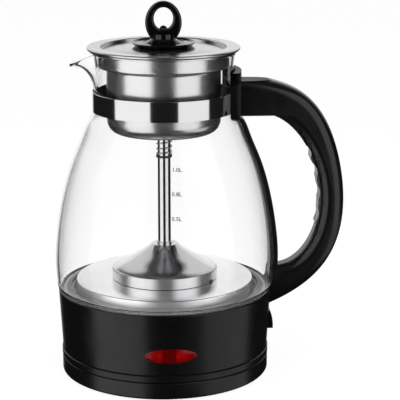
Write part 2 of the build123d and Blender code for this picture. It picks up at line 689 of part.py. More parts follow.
# ---------------------------------------------------------------- neck band
def neck_band():
    band = pipe(BAND_OUT, BAND_IN, BAND_LOW, BAND_TOP)
    band -= slab((0, SADDLE_OUT), (-EAR_GAP / 2, EAR_GAP / 2), (BAND_LOW, BAND_TOP))
    middle = (BAND_LOW + BAND_TOP) / 2
    for side in (-1, 1):
        y_span = sorted((side * EAR_GAP / 2, side * (EAR_GAP / 2 + BAND)))
        band += slab((BAND_IN, BAND_OUT + EAR_L), y_span, (middle - EAR_H / 2, middle + EAR_H / 2))
    return band - band_screw_bar(BAND_SCREW_R)


def band_screw_bar(radius):
    """Bar along Y where the clamping screw passes the band's ears."""
    middle = (BAND_LOW + BAND_TOP) / 2
    return Pos(BAND_OUT + EAR_L / 2, 0, 0) * along_y(radius, -BAND_SCREW_L / 2, BAND_SCREW_L / 2, middle)


def band_screw():
    x = BAND_OUT + EAR_L / 2
    middle = (BAND_LOW + BAND_TOP) / 2
    head = Pos(x, 0, 0) * along_y(BAND_SCREW_HEAD_R, BAND_SCREW_L / 2 - BAND_SCREW_HEAD_T, BAND_SCREW_L / 2, middle)
    return head + band_screw_bar(BAND_SCREW_R)


def band_liner():
    return pipe(BAND_IN - RUNNING, NECK_R, BAND_LOW, BAND_TOP) - jug_envelope(0)


# ---------------------------------------------------------------- handle
def handle_point(shares):
    """Point of the handle's outline from its shares of reach and height."""
    x = HOUSING_TOP_R + HANDLE_OUT * shares[0]
    z = HANDLE_TIP + (ARM_TOP - HANDLE_TIP) * shares[1]
    return (x, z)


def grip_lines():
    """Outer and inner outline of the grip, each from the neck to the foot."""
    outer = Bezier(*[handle_point(shares) for shares in GRIP_OUTER])
    inner = Bezier(*[handle_point(shares) for shares in GRIP_INNER])
    return outer, inner


def grip():
    """Arm, grip and foot in one bar with rounded edges, drawn on into the neck and the housing."""
    outer, inner = grip_lines()
    neck = Polyline(inner @ 0, (NECK_R, (inner @ 0).Y), (NECK_R, (outer @ 0).Y), outer @ 0)
    foot = Polyline(outer @ 1, outer @ 1 + (outer % 1) * FOOT_RUN / 2, inner @ 1 + (inner % 1) * FOOT_RUN, inner @ 1)
    face = make_face([outer, foot, inner, neck])
    bar = extrude(Plane.XZ.offset(-HANDLE_DEPTH / 2) * face, HANDLE_DEPTH)
    return fillet(bar.edges().filter_by(GeomType.BEZIER), HANDLE_ROUND)


def saddle():
    """Curved head of the handle that lies round the neck over the band."""
    block = pipe(SADDLE_OUT, BAND_OUT, SADDLE_LOW, SADDLE_TOP)
    prism = Pos(SADDLE_OUT / 2, 0, (SADDLE_LOW + SADDLE_TOP) / 2) * Box(
        SADDLE_OUT + 2, 2 * SADDLE_HALF_W, SADDLE_TOP - SADDLE_LOW)
    prism = fillet(prism.edges().filter_by(Axis.X), SADDLE_ROUND * 2)
    return block & prism


def strip(gap):
    """Thin back strip of the handle, which follows the glass."""
    side = jug_envelope(STRIP_T + FIT + gap) - jug_envelope(FIT - gap)
    return side & slab((0, HANDLE_REACH), (-STRIP_W / 2 - gap, STRIP_W / 2 + gap),
                       (RIM + STRIP_LOW - gap, BAND_LOW - STRIP_HIGH + gap))


def housing_envelope(gap):
    """Solid that fills the outside of the housing, grown by a gap."""
    return turned_polygon((0, LIP_TOP), (HOUSING_LOW_R + gap, LIP_TOP), (HOUSING_TOP_R + gap, RIM), (0, RIM))


def insert_block():
    """Band along the inside of the grip that the soft insert fills."""
    outer, inner = grip_lines()
    step = (INSERT_TO - INSERT_FROM) / (INSERT_STATIONS - 1)
    sections = []
    for i in range(INSERT_STATIONS):
        start = inner @ (INSERT_FROM + step * i)
        away = (outer @ (INSERT_FROM + step * i)) - start
        unit = Vector(away.X, 0, away.Y).normalized()
        origin = Vector(start.X, 0, start.Y) + unit * (INSERT_T / 2 - INSERT_PROUD)
        plane = Plane(origin=origin, x_dir=unit, z_dir=unit.cross(Vector(0, 1, 0)))
        sections.append(plane * RectangleRounded(INSERT_T, INSERT_W, INSERT_T / 3))
    return loft(sections)


def finger_grooves():
    """Bars across the insert that leave its finger grooves."""
    outer, inner = grip_lines()
    away = (outer @ 0.5) - (inner @ 0.5)
    unit = Vector(away.X, 0, away.Y).normalized()
    bars = []
    for i in range(FINGER_COUNT):
        start = inner @ (INSERT_FROM + (INSERT_TO - INSERT_FROM) * (i + 0.5) / FINGER_COUNT)
        centre = Vector(start.X, 0, start.Y) - unit * (INSERT_PROUD + FINGER_R - FINGER_DEPTH)
        bars.append(Pos(*centre) * Rot(90, 0, 0) * Cylinder(FINGER_R, HANDLE_DEPTH))
    return bars


def handle_insert():
    insert = insert_block()
    for bar in finger_grooves():
        insert -= bar
    return insert


def handle_body():
    body = grip() + saddle()
    body -= rod(BAND_OUT, SADDLE_LOW - HANDLE_DEPTH, SADDLE_TOP + 1)
    body -= jug_envelope(FIT)
    body -= housing_envelope(0)
    body -= strip(RUNNING)
    body -= insert_block()
    middle = (BAND_LOW + BAND_TOP) / 2
    pocket_half = EAR_GAP / 2 + BAND
    body -= slab((BAND_IN, BAND_OUT + EAR_L + FIT), (-pocket_half, pocket_half),
                 (middle - EAR_H / 2 - FIT, middle + EAR_H / 2 + FIT))
    body -= band_screw_bar(BAND_SCREW_R)
    body -= band_screw_access()
    for side in (-HANDLE_SCREW_Y, HANDLE_SCREW_Y):
        body -= along_x(HANDLE_SCREW_R, BOSS_RING_R, handle_screw_tip(), side, handle_screw_level())
    return body


def band_screw_access():
    """Counterbore on the rear of the arm for the clamping screw's head."""
    middle = (BAND_LOW + BAND_TOP) / 2
    return Pos(BAND_OUT + EAR_L / 2, 0, 0) * along_y(
        BAND_SCREW_HEAD_R, BAND_SCREW_L / 2 - BAND_SCREW_HEAD_T, HANDLE_DEPTH, middle)


def handle_screw_tip():
    """How far the foot's screws reach along X."""
    return housing_radius(handle_screw_level(), HOUSING_WALL) + HANDLE_SCREW_L


def handle_screws():
    level = handle_screw_level()
    seat = math.sqrt(housing_radius(level, HOUSING_WALL) ** 2 - (HANDLE_SCREW_Y + HANDLE_SCREW_HEAD_R) ** 2)
    screws = []
    for side in (-HANDLE_SCREW_Y, HANDLE_SCREW_Y):
        head = along_x(HANDLE_SCREW_HEAD_R, seat - HANDLE_SCREW_HEAD_T, seat, side, level)
        screws.append(head + along_x(HANDLE_SCREW_R, seat - HANDLE_SCREW_HEAD_T / 2, handle_screw_tip(), side, level))
    return group(screws)


# ---------------------------------------------------------------- indicator lamp
def shell_ring(outer_inset, inner_inset, low, high):
    """Tapered ring that follows the housing's wall."""
    return turned_polygon(
        (housing_radius(low, outer_inset), low), (housing_radius(high, outer_inset), high),
        (housing_radius(high, inner_inset), high), (housing_radius(low, inner_inset), low))


def indicator_lens():
    low = LENS_LEVEL - 2 * LENS_HALF_H
    high = LENS_LEVEL + 2 * LENS_HALF_H
    window = shell_ring(-LENS_PROUD, HOUSING_WALL, low, high) & lens_prism(0)
    flange = shell_ring(HOUSING_WALL, HOUSING_WALL + LENS_FLANGE, low, high) & lens_prism(LENS_FLANGE)
    return window + flange


def lamp_holder_front():
    """How far forward the lamp holder reaches, just behind the lens's flange."""
    radius = housing_radius(LENS_LEVEL - LENS_HALF_H, HOUSING_WALL + LENS_FLANGE)
    return math.sqrt(radius ** 2 - HOLDER_HALF_W ** 2) - FIT


def lamp_holder():
    front = lamp_holder_front()
    box = slab((-HOLDER_HALF_W, HOLDER_HALF_W), (-front, -front + HOLDER_DEPTH),
               (LENS_LEVEL - HOLDER_HALF_H, LENS_LEVEL + HOLDER_HALF_H))
    wall = HOLDER_WALL
    box -= slab((-HOLDER_HALF_W + wall, HOLDER_HALF_W - wall), (-front, -front + HOLDER_DEPTH - wall),
                (LENS_LEVEL - HOLDER_HALF_H + wall, LENS_LEVEL + HOLDER_HALF_H - wall))
    return box


def indicator_lamp():
    length = min(LAMP_L, 2 * (HOLDER_HALF_W - HOLDER_WALL))
    y = -lamp_holder_front() + HOLDER_DEPTH - HOLDER_WALL - LAMP_R
    lamp = Pos(0, y, LENS_LEVEL) * Rot(0, 90, 0) * Cylinder(LAMP_R, length)
    return fillet(lamp.edges().filter_by(GeomType.CIRCLE), LAMP_R / 2)


# ---------------------------------------------------------------- switch
def switch_pivot():
    """Pivot of the switch paddle in the XZ plane."""
    return housing_radius(SWITCH_LEVEL) - SWITCH_PIVOT_IN, SWITCH_LEVEL


def across_y(radius, half_length):
    """Round bar along Y through the switch's pivot."""
    x, z = switch_pivot()
    return Pos(x, 0, z) * Rot(90, 0, 0) * Cylinder(radius, 2 * half_length)


def switch_paddle():
    x, z = switch_pivot()
    top = (x + PADDLE_TOP[0], z + PADDLE_TOP[1])
    low = (x + PADDLE_LOW[0], z + PADDLE_LOW[1])
    bow = ThreePointArc(low, ((top[0] + low[0]) / 2 + PADDLE_BOW, (top[1] + low[1]) / 2), top)
    face = make_face([bow, Polyline(top, (top[0] - PADDLE_T, top[1]), (x, z + HUB_R), (x - HUB_R, z),
                                    (x, z - HUB_R), (low[0] - PADDLE_T, low[1]), low)])
    paddle = extrude(Plane.XZ * face, PADDLE_HALF_W, both=True)
    return paddle - across_y(SWITCH_PIN_R + RUNNING, PADDLE_HALF_W + 1)


def switch_case():
    x, z = switch_pivot()
    front = housing_radius(SWITCH_LEVEL - WINDOW_HALF_H, HOUSING_WALL)
    half_w = PADDLE_HALF_W + SWITCH_SIDE
    front = math.sqrt(front ** 2 - (half_w + CASE_WALL) ** 2) - FIT
    case = slab((front - CASE_DEPTH, front), (-half_w - CASE_WALL, half_w + CASE_WALL),
                (z - WINDOW_HALF_H - CASE_WALL, z + WINDOW_HALF_H + CASE_WALL))
    case -= slab((front - CASE_DEPTH + CASE_WALL, front), (-half_w, half_w), (z - WINDOW_HALF_H, z + WINDOW_HALF_H))
    return case - across_y(SWITCH_PIN_R, half_w + CASE_WALL + 1)


def switch_pin():
    return across_y(SWITCH_PIN_R, PADDLE_HALF_W + SWITCH_SIDE + CASE_WALL)


# ---------------------------------------------------------------- basket and steam tube
def basket_holes():
    """Bars of the perforated floor, on a field of triangles."""
    rows = int(HOLE_FIELD[1] / (HOLE_PITCH * math.sqrt(3) / 2))
    bar = rod(HOLE_R, CUP_LOW - 1, CUP_LOW + STEEL + 1)
    bars = []
    for row in range(-rows, rows + 1):
        y = row * HOLE_PITCH * math.sqrt(3) / 2
        for column in range(-rows, rows + 1):
            x = (column + (row % 2) / 2) * HOLE_PITCH
            if HOLE_FIELD[0] <= math.hypot(x, y) <= HOLE_FIELD[1]:
                bars.append(Pos(x, y, 0) * bar)
    return bars


def filter_basket():
    step = FLANGE_Z - DRUM_H
    corners = ((BUSH_R, CUP_LOW), (CUP_R, CUP_LOW), (CUP_R, step), (DRUM_R, step), (DRUM_R, FLANGE_Z),
               (BASKET_FLANGE_R, FLANGE_Z))
    basket = pressed(corners, (CUP_ROUND, STEP_ROUND, STEP_ROUND, STEEL), STEEL)
    return basket - basket_holes()


def basket_bush():
    bush = rod(BUSH_LIP_R, BUSH_LOW, CUP_LOW) + rod(BUSH_R, BUSH_LOW, BUSH_TOP)
    bush += rod(BUSH_HEAD_R, CUP_LOW + STEEL, BUSH_TOP)
    return bush - rod(TUBE_R + RUNNING, BUSH_LOW, BUSH_TOP)


def tube_spring():
    rise = SPRING_H - 2 * SPRING_WIRE_R - 2 * FIT
    low = SPRING_LOW + SPRING_WIRE_R + FIT
    path = Pos(0, 0, low) * Helix(rise / SPRING_TURNS, rise, SPRING_MEAN_R)
    section = Plane(origin=path @ 0, z_dir=path % 0) * Circle(SPRING_WIRE_R)
    return sweep(section, path=path, is_frenet=True)


def spring_seat():
    seat = pipe(SEAT_R, TUBE_R, SPRING_LOW - SEAT_T, SPRING_LOW)
    return fillet(ring_edges(seat, SEAT_R, SPRING_LOW - SEAT_T), SEAT_T / 3)


def steam_tube():
    bead_low = BUSH_TOP + BEAD_FREE
    tube = pipe(TUBE_R, TUBE_R - TUBE_WALL, BELL_TOP - STEEL, TUBE_TOP)
    bead = turned(ThreePointArc((TUBE_R, bead_low), (BEAD_R, bead_low + BEAD_R - TUBE_R),
                                (TUBE_R, bead_low + 2 * (BEAD_R - TUBE_R))),
                  Line((TUBE_R, bead_low), (TUBE_R, bead_low + 2 * (BEAD_R - TUBE_R))))
    return tube + bead


def spray_cap():
    low = TUBE_TOP - CAP_H / 2
    cap = rod(CAP_R, low, low + CAP_H)
    cap = fillet(ring_edges(cap, CAP_R, low + CAP_H), CAP_R / 3)
    cap -= rod(CAP_R - CAP_WALL - CAP_SEAT, low + CAP_H / 2, low + CAP_H - CAP_WALL)
    cap -= rod(TUBE_R, low, TUBE_TOP)
    slot = slab((TUBE_R, CAP_R + 1), (-CAP_SLOT_W / 2, CAP_SLOT_W / 2),
                (TUBE_TOP + CAP_SEAT / 2, low + CAP_H - CAP_WALL - CAP_SEAT))
    for i in range(CAP_SLOTS):
        cap -= Rot(0, 0, i * 360 / CAP_SLOTS) * slot
    return cap


# ---------------------------------------------------------------- steam bell
def bell_line(inset):
    """Edges of the bell from its crown to the foot of its skirt, drawn inside the outer face."""
    brim = BELL_LOW + SKIRT_H
    wide = BELL_R - BELL_CROWN_R
    tall = BELL_TOP - brim
    back = inset / 2
    middle = (BELL_CROWN_R + wide * FLARE_MID[0] - back, brim + tall * FLARE_MID[1] - inset)
    crown = Line((TUBE_R, BELL_TOP - inset), (BELL_CROWN_R - back, BELL_TOP - inset))
    flare = Spline(crown @ 1, middle, (BELL_R - BRIM_ROUND - inset, brim - inset), tangents=(FLARE_START, FLARE_END))
    round_over = RadiusArc(flare @ 1, (BELL_R - inset, brim - BRIM_ROUND - inset), BRIM_ROUND)
    skirt = Line(round_over @ 1, (BELL_R - inset, BELL_LOW))
    return crown, flare, round_over, skirt


def steam_bell():
    outer = bell_line(0)
    inner = bell_line(STEEL)
    bell = turned(*outer, *inner, Line(outer[0] @ 0, inner[0] @ 0), Line(outer[-1] @ 1, inner[-1] @ 1))
    notch = slab((BELL_R - 3, BELL_R + 3), (-NOTCH_W / 2, NOTCH_W / 2), (BELL_LOW - 1, BELL_LOW + NOTCH_H))
    for i in range(NOTCHES):
        bell -= Rot(0, 0, NOTCH_TURN + i * 360 / NOTCHES) * notch
    return bell


def bell_collar():
    collar = pipe(COLLAR_R, TUBE_R, BELL_TOP, BELL_TOP + COLLAR_H)
    return fillet(ring_edges(collar, COLLAR_R, BELL_TOP + COLLAR_H), COLLAR_H / 2)


# ---------------------------------------------------------------- lid and knob
def lid_dome(drop):
    """Line of the lid's dome from the sunk floor's edge to the middle, lowered by a drop."""
    edge = (RECESS_R, RECESS_Z - drop)
    middle = (RECESS_R / 2, RECESS_Z + LID_CROWN * 0.75 - drop)
    return ThreePointArc(edge, middle, (0, LID_TOP - drop))


def lid_disc():
    roll_r = LID_R - LID_ROLL
    roll = ThreePointArc((roll_r, LID_EDGE), (LID_R, LID_LOW + LID_ROLL), (roll_r, LID_LOW))
    bend = RadiusArc((RECESS_R + RECESS_ROUND, LID_EDGE), (RECESS_R, LID_EDGE - RECESS_ROUND), -RECESS_ROUND)
    top = Line(roll @ 0, bend @ 0)
    wall = Line(bend @ 1, (RECESS_R, RECESS_Z))
    under = Polyline(roll @ 1, (roll_r - LID_ROLL, LID_EDGE - LID_STEEL), (PLUG_R, LID_EDGE - LID_STEEL),
                     (PLUG_R, RECESS_Z - LID_STEEL), (RECESS_R, RECESS_Z - LID_STEEL))
    axis = Line((0, LID_TOP), (0, LID_TOP - LID_STEEL))
    disc = turned(roll, top, bend, wall, lid_dome(0), axis, lid_dome(LID_STEEL), under)
    return disc - rod(LID_SCREW_R, LID_TOP - 2, LID_TOP + 1)


def lid_plug():
    top = RECESS_Z - LID_STEEL
    return pipe(PLUG_R, PLUG_R - STEEL, top - PLUG_H, top)


def knob_saucer():
    """Dished saucer of the knob with its waist."""
    low = KNOB_LOW
    floor = low + SAUCER_T
    rim = floor + SAUCER_DISH
    neck_z = floor + WAIST_RISE
    top_z = neck_z + WAIST_H
    top = Polyline((0, low), (SAUCER_R - SAUCER_DISH * 2, low), (SAUCER_R, rim - SAUCER_EDGE),
                   (SAUCER_R - SAUCER_EDGE, rim), (SAUCER_R - SAUCER_FLOOR_IN, floor))
    waist = Spline(top @ 1, (KNOB_NECK_R + WAIST_FOOT, floor + SAUCER_DISH), (KNOB_NECK_R, neck_z),
                   (KNOB_NECK_R - WAIST_FALL, top_z), tangents=((-1, 0), (-0.1, 1)))
    return turned(top, waist, Polyline(waist @ 1, (0, top_z), (0, low)))


def lid_knob():
    low = KNOB_LOW
    ring_z = low + RING_CENTRE
    hole_z = ring_z + FINGER_RISE
    face = Pos(0, ring_z) * Ellipse(RING_HALF_W, RING_HALF_H) - Pos(0, hole_z) * Ellipse(FINGER_HALF_W, FINGER_HALF_H)
    ring = extrude(Plane.XZ.offset(-RING_DEPTH / 2) * face, RING_DEPTH)
    ring = fillet(ring.edges().filter_by(GeomType.ELLIPSE), RING_EDGE)
    ring &= rod(RING_HALF_W + 1, low + SAUCER_T + SAUCER_DISH, ring_z + RING_HALF_H + 1)
    button = Pos(0, 0, hole_z - FINGER_HALF_H) * Sphere(BUTTON_R)
    return knob_saucer() + ring + button - rod(LID_SCREW_R, low, low + LID_SCREW_L)


def lid_screw():
    head_top = LID_UNDER - WASHER_T
    return rod(LID_SCREW_HEAD_R, head_top - LID_SCREW_HEAD_T, head_top) + rod(
        LID_SCREW_R, head_top - 1, KNOB_LOW + LID_SCREW_L)


def lid_washer():
    return pipe(WASHER_R, LID_SCREW_R, LID_UNDER - WASHER_T, LID_UNDER)


def handle_strip():
    """Back strip of the handle at its own size."""
    return strip(0)


PARTS = (
    power_base_shell, power_base_plate, base_feet, base_screws, base_connector, base_contacts, cord_gland,
    heater_housing, jug_bottom_cover, housing_screws, jug_connector, jug_contacts,
    heater_plate, heat_diffuser, heating_element, thermal_fuse, thermostat_disc, thermostat_body,
    glass_jug, glass_seal, neck_band, band_screw, band_liner,
    handle_body, handle_insert, handle_strip, handle_screws,
    indicator_lens, lamp_holder, indicator_lamp, switch_case, switch_paddle, switch_pin,
    filter_basket, basket_bush, tube_spring, spring_seat, steam_tube, spray_cap, steam_bell, bell_collar,
    lid_disc, lid_plug, lid_knob, lid_screw, lid_washer,
)

if __name__ == "__main__":
    os.makedirs("parts", exist_ok=True)
    for make in PARTS:
        export_step(make(), f"parts/{make.__name__}.step")
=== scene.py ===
"""Looks and studio of the automatic tea maker.

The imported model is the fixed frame, and most of its nodes keep their meshes and get finishes. The glass jug
with its level marks, the indicator lens, the tube's spring and the screws are built here.
"""
import json
import logging
import math
from dataclasses import dataclass, field
from enum import Enum
from functools import lru_cache
from typing import Any, Iterable, Sequence

import bmesh
import bpy
from mathutils import Euler, Matrix, Vector


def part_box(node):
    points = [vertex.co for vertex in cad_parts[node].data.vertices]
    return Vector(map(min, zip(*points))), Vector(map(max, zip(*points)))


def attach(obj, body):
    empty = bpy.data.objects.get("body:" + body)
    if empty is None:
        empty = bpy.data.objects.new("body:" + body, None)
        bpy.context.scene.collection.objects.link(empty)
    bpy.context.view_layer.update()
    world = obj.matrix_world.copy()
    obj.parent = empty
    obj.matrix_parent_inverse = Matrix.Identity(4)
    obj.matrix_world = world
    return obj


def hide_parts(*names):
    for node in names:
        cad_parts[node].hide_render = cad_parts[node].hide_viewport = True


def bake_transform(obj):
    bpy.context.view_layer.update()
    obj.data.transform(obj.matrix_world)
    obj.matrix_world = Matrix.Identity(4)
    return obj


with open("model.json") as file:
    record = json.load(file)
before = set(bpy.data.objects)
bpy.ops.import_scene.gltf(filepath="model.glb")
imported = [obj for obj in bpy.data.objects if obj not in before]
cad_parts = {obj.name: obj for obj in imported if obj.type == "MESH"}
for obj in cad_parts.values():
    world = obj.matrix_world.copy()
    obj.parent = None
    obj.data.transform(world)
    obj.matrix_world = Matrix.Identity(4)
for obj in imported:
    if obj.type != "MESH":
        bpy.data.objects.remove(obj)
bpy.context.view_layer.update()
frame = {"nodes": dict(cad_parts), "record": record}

LOG = logging.getLogger("tea_maker")
MM = 0.001
MERGE = 1e-7  # metres within which two points are one
NOISE_MIDDLE = (0.3, 0.7)  # most of a noise's values lie here
WORN_MIDDLE = (0.35, 0.75)

Point = tuple[float, float]
Span = tuple[float, float]
Place = tuple[float, float, float]
Colour = tuple[float, float, float, float]
Socket = bpy.types.NodeSocket


class Body(Enum):
    """Moving bodies of the frame."""
    POWER_BASE = "power_base"
    JUG = "jug"
    SWITCH = "switch"
    BASKET = "basket"
    COLUMN = "spray_column"
    LID = "lid"


class Slot(Enum):
    """Material slots of the record."""
    SHELL = "shell_black"
    HOUSING = "housing_black"
    HANDLE = "handle_black"
    INSERT = "insert_black"
    INNER = "inner_plastic"
    RUBBER = "rubber_black"
    SILICONE = "silicone_clear"
    GLASS = "jug_glass"
    POLISHED = "steel_polished"
    BRUSHED = "steel_brushed"
    PLATE = "steel_plate"
    SCREW = "screw_steel"
    ALUMINIUM = "aluminium"
    BRASS = "brass"
    LENS = "red_lens"
    NEON = "neon"
    WHITE = "white_plastic"


@lru_cache(maxsize=None)
def span_mm(node: str) -> tuple[Vector, Vector]:
    """Lowest and highest corner of a CAD node, in millimetres."""
    low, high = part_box(node)
    return low / MM, high / MM


def shaded(colour: Colour, factor: float) -> Colour:
    """Colour made darker or lighter by a factor."""
    return tuple(channel * factor for channel in colour[:3]) + (1.0,)


# ---------------------------------------------------------------- node graphs
class Graph:
    """Short calls that add and join nodes of a shader, world or geometry tree."""

    def __init__(self, tree: bpy.types.NodeTree) -> None:
        """Takes a tree and empties it."""
        self.tree = tree
        self.tree.nodes.clear()

    def node(self, kind: str, values: dict[Any, Any] | None = None, **settings: Any) -> bpy.types.Node:
        """Adds a node.

        Args:
            kind: The node's type name.
            values: Input name or number to a value or to another node's output.
            settings: Attributes of the node, set before its inputs.

        Returns:
            The new node.
        """
        made = self.tree.nodes.new(kind)
        for name, value in settings.items():
            setattr(made, name, value)
        for name, value in (values or {}).items():
            if isinstance(value, Socket):
                self.tree.links.new(value, made.inputs[name])
            else:
                made.inputs[name].default_value = value
        return made

    def math(self, operation: str, *values: Any) -> Socket:
        """Adds a Math node and returns its result."""
        return self.node("ShaderNodeMath", dict(enumerate(values)), operation=operation).outputs[0]

    def product(self, first: Any, *others: Any) -> Socket:
        """Multiplies values one after the other.

        Args:
            first: First value or socket.
            others: Values or sockets to multiply it with.

        Returns:
            The product.
        """
        for other in others:
            first = self.math("MULTIPLY", first, other)
        return first

    def vector(self, x: Any, y: Any, z: Any) -> Socket:
        """Joins three values to a vector."""
        return self.node("ShaderNodeCombineXYZ", {0: x, 1: y, 2: z}).outputs[0]

    def axes(self, vector: Any) -> tuple[Socket, ...]:
        """Splits a vector into X, Y and Z."""
        return tuple(self.node("ShaderNodeSeparateXYZ", {0: vector}).outputs)

    def spread(self, value: Any, low: float, high: float, to_low: float, to_high: float,
               shape: str = "LINEAR") -> Socket:
        """Maps a value from one span to another, clamped.

        Args:
            value: Value to map.
            low: Start of the first span.
            high: End of the first span.
            to_low: What the start becomes.
            to_high: What the end becomes.
            shape: LINEAR, or SMOOTHSTEP for soft ends.

        Returns:
            The mapped value.
        """
        ramp = self.node("ShaderNodeMapRange", interpolation_type=shape, values={
            "Value": value, "From Min": low, "From Max": high, "To Min": to_low, "To Max": to_high})
        return ramp.outputs[0]

    def vary(self, noise: Any, low: float, high: float) -> Socket:
        """Maps the middle of a noise's values to a span."""
        return self.spread(noise, *NOISE_MIDDLE, low, high)

    def rise(self, value: Any, edge: Span, top: float = 1.0) -> Socket:
        """Rises smoothly from 0 at the edge's first value to the top at its second."""
        return self.spread(value, *edge, 0.0, top, "SMOOTHSTEP")

    def either(self, share: Any, first: Any, second: Any) -> Socket:
        """Mixes two values: the first where the share is 1, the second where it is 0."""
        rest = self.product(self.math("SUBTRACT", 1.0, share), second)
        return self.math("ADD", self.product(share, first), rest)

    def blend(self, share: Any, first: Any, second: Any) -> Socket:
        """Mixes two colours by a share."""
        mix = self.node("ShaderNodeMix", {0: share, 6: first, 7: second}, data_type="RGBA")
        return mix.outputs[2]

    def place(self) -> Socket:
        """Place of the shaded point on its object, in metres."""
        return self.node("ShaderNodeTexCoord").outputs["Object"]

    def noise(self, where: Any, scale: float, detail: float = 2.0, roughness: float = 0.5) -> Socket:
        """Adds a noise.

        Args:
            where: Place that the noise reads.
            scale: Cells per unit of that place, which is a metre unless it was scaled.
            detail: Number of finer layers.
            roughness: Share of the finer layers.

        Returns:
            The noise's value.
        """
        made = self.node("ShaderNodeTexNoise", {
            "Vector": where, "Scale": scale, "Detail": detail, "Roughness": roughness})
        return made.outputs[0]

    def bump(self, height: Any, depth: float, strength: float = 1.0) -> Socket:
        """Adds a bump of a depth in metres and returns its normal."""
        return self.node("ShaderNodeBump", {
            "Height": height, "Distance": depth, "Strength": strength}).outputs[0]


class Shader(Graph):
    """Graph of a new material."""

    def __init__(self, name: str) -> None:
        """Makes the material and empties its tree.

        Args:
            name: Name of the material.
        """
        self.material = bpy.data.materials.new(name)
        self.material.use_nodes = True
        super().__init__(self.material.node_tree)

    def surface(self, shader: Socket) -> bpy.types.Material:
        """Joins a shader to the material's output and returns the material."""
        self.node("ShaderNodeOutputMaterial", {"Surface": shader})
        return self.material

    def principled(self, values: dict[Any, Any]) -> Socket:
        """Adds a Principled shader and returns its output."""
        return self.node("ShaderNodeBsdfPrincipled", values).outputs[0]


# ---------------------------------------------------------------- finishes
@dataclass(frozen=True)
class MouldedPlastic:
    """Injection-moulded plastic with a fine skin and faint flow variation.

    Where matt_over is set, it has almost no gloss over that level, in millimetres.
    """
    name: str
    colour: Colour
    roughness: float = 0.22
    uneven: float = 0.05
    skin_scale: float = 1400.0
    skin_depth: float = 0.000004
    shine: float = 0.38
    matt_over: float = 0.0
    matt_fade: Span = (0.0012, 0.0002)
    matt_shine: float = 0.02
    flow_scale: float = 38.0
    flow_shade: float = 0.78

    def material(self) -> bpy.types.Material:
        """Builds the material.

        Returns:
            The built material.
        """
        s = Shader(self.name)
        where = s.place()
        flow = s.noise(where, self.flow_scale, 4.0)
        skin = s.noise(where, self.skin_scale)
        shine = self.shine
        if self.matt_over:
            level = s.axes(where)[2]
            start, end = (self.matt_over * MM - under for under in self.matt_fade)
            shine = s.spread(level, start, end, self.shine, self.matt_shine)
        return s.surface(s.principled({
            "Base Color": s.blend(flow, shaded(self.colour, self.flow_shade), self.colour),
            "Roughness": s.vary(flow, self.roughness - self.uneven, self.roughness + self.uneven),
            "Specular IOR Level": shine, "Normal": s.bump(skin, self.skin_depth, 0.6)}))


@dataclass(frozen=True)
class SoftRubber:
    """Matt rubber or soft insert with a fine pebbled grain."""
    name: str
    colour: Colour
    roughness: float = 0.62
    grain_scale: float = 2600.0
    grain_depth: float = 0.00002
    uneven: float = 0.06
    worn_scale: float = 60.0
    worn_shade: float = 1.5
    worn_share: float = 0.6

    def material(self) -> bpy.types.Material:
        """Builds the material.

        Returns:
            The built material.
        """
        s = Shader(self.name)
        where = s.place()
        cells = s.node("ShaderNodeTexVoronoi", {"Vector": where, "Scale": self.grain_scale})
        worn = s.noise(where, self.worn_scale, 3.0)
        share = s.spread(worn, *WORN_MIDDLE, 0.0, self.worn_share)
        return s.surface(s.principled({
            "Base Color": s.blend(share, self.colour, shaded(self.colour, self.worn_shade)),
            "Roughness": s.vary(worn, self.roughness - self.uneven, self.roughness + self.uneven),
            "Normal": s.bump(cells.outputs["Distance"], self.grain_depth, 0.5)}))


@dataclass(frozen=True)
class TurnedSteel:
    """Steel spun or brushed round the upright axis; shallower lines look more polished.

    Where matt_under is set, matt is added to its roughness under that level, in millimetres.
    """
    name: str
    colour: Colour
    roughness: float
    uneven: float
    depth: float
    lines: float = 5200.0
    stretch: float = 0.0
    matt_under: float = 0.0
    matt: float = 0.16
    matt_fade: Span = (0.0008, 0.0002)
    axis_radius: float = 0.0005
    line_length: float = 2.2
    cloud_scale: float = 30.0
    clouding: float = 0.12

    def material(self) -> bpy.types.Material:
        """Builds the material.

        Returns:
            The built material.
        """
        s = Shader(self.name)
        x, y, z = s.axes(s.place())
        radius = s.math("SQRT", s.math("ADD", s.product(x, x), s.product(y, y)))
        safe = s.math("MAXIMUM", radius, self.axis_radius)
        round_x = s.product(s.math("DIVIDE", x, safe), self.line_length)
        round_y = s.product(s.math("DIVIDE", y, safe), self.line_length)
        across = s.product(s.math("ADD", z, radius), self.lines)
        brush = s.noise(s.vector(round_x, round_y, across), 1.0, 3.0, 0.6)
        cloud = s.noise(s.place(), self.cloud_scale, 3.0)
        least, most = (self.roughness * (1 + sign * self.clouding) for sign in (-1, 1))
        rough = s.math("ADD", s.vary(brush, -self.uneven, self.uneven), s.vary(cloud, least, most))
        if self.matt_under:
            start, end = (self.matt_under * MM - under for under in self.matt_fade)
            rough = s.math("ADD", rough, s.spread(z, start, end, self.matt, 0.0))
        values = {
            "Base Color": self.colour, "Metallic": 1.0, "Roughness": rough,
            "Normal": s.bump(brush, self.depth, 1.0)}
        if self.stretch:
            tangent = s.vector(s.product(y, -1.0), x, 0.0)
            values["Anisotropic"] = self.stretch
            values["Tangent"] = s.node("ShaderNodeVectorMath", {0: tangent}, operation="NORMALIZE").outputs[0]
        return s.surface(s.principled(values))


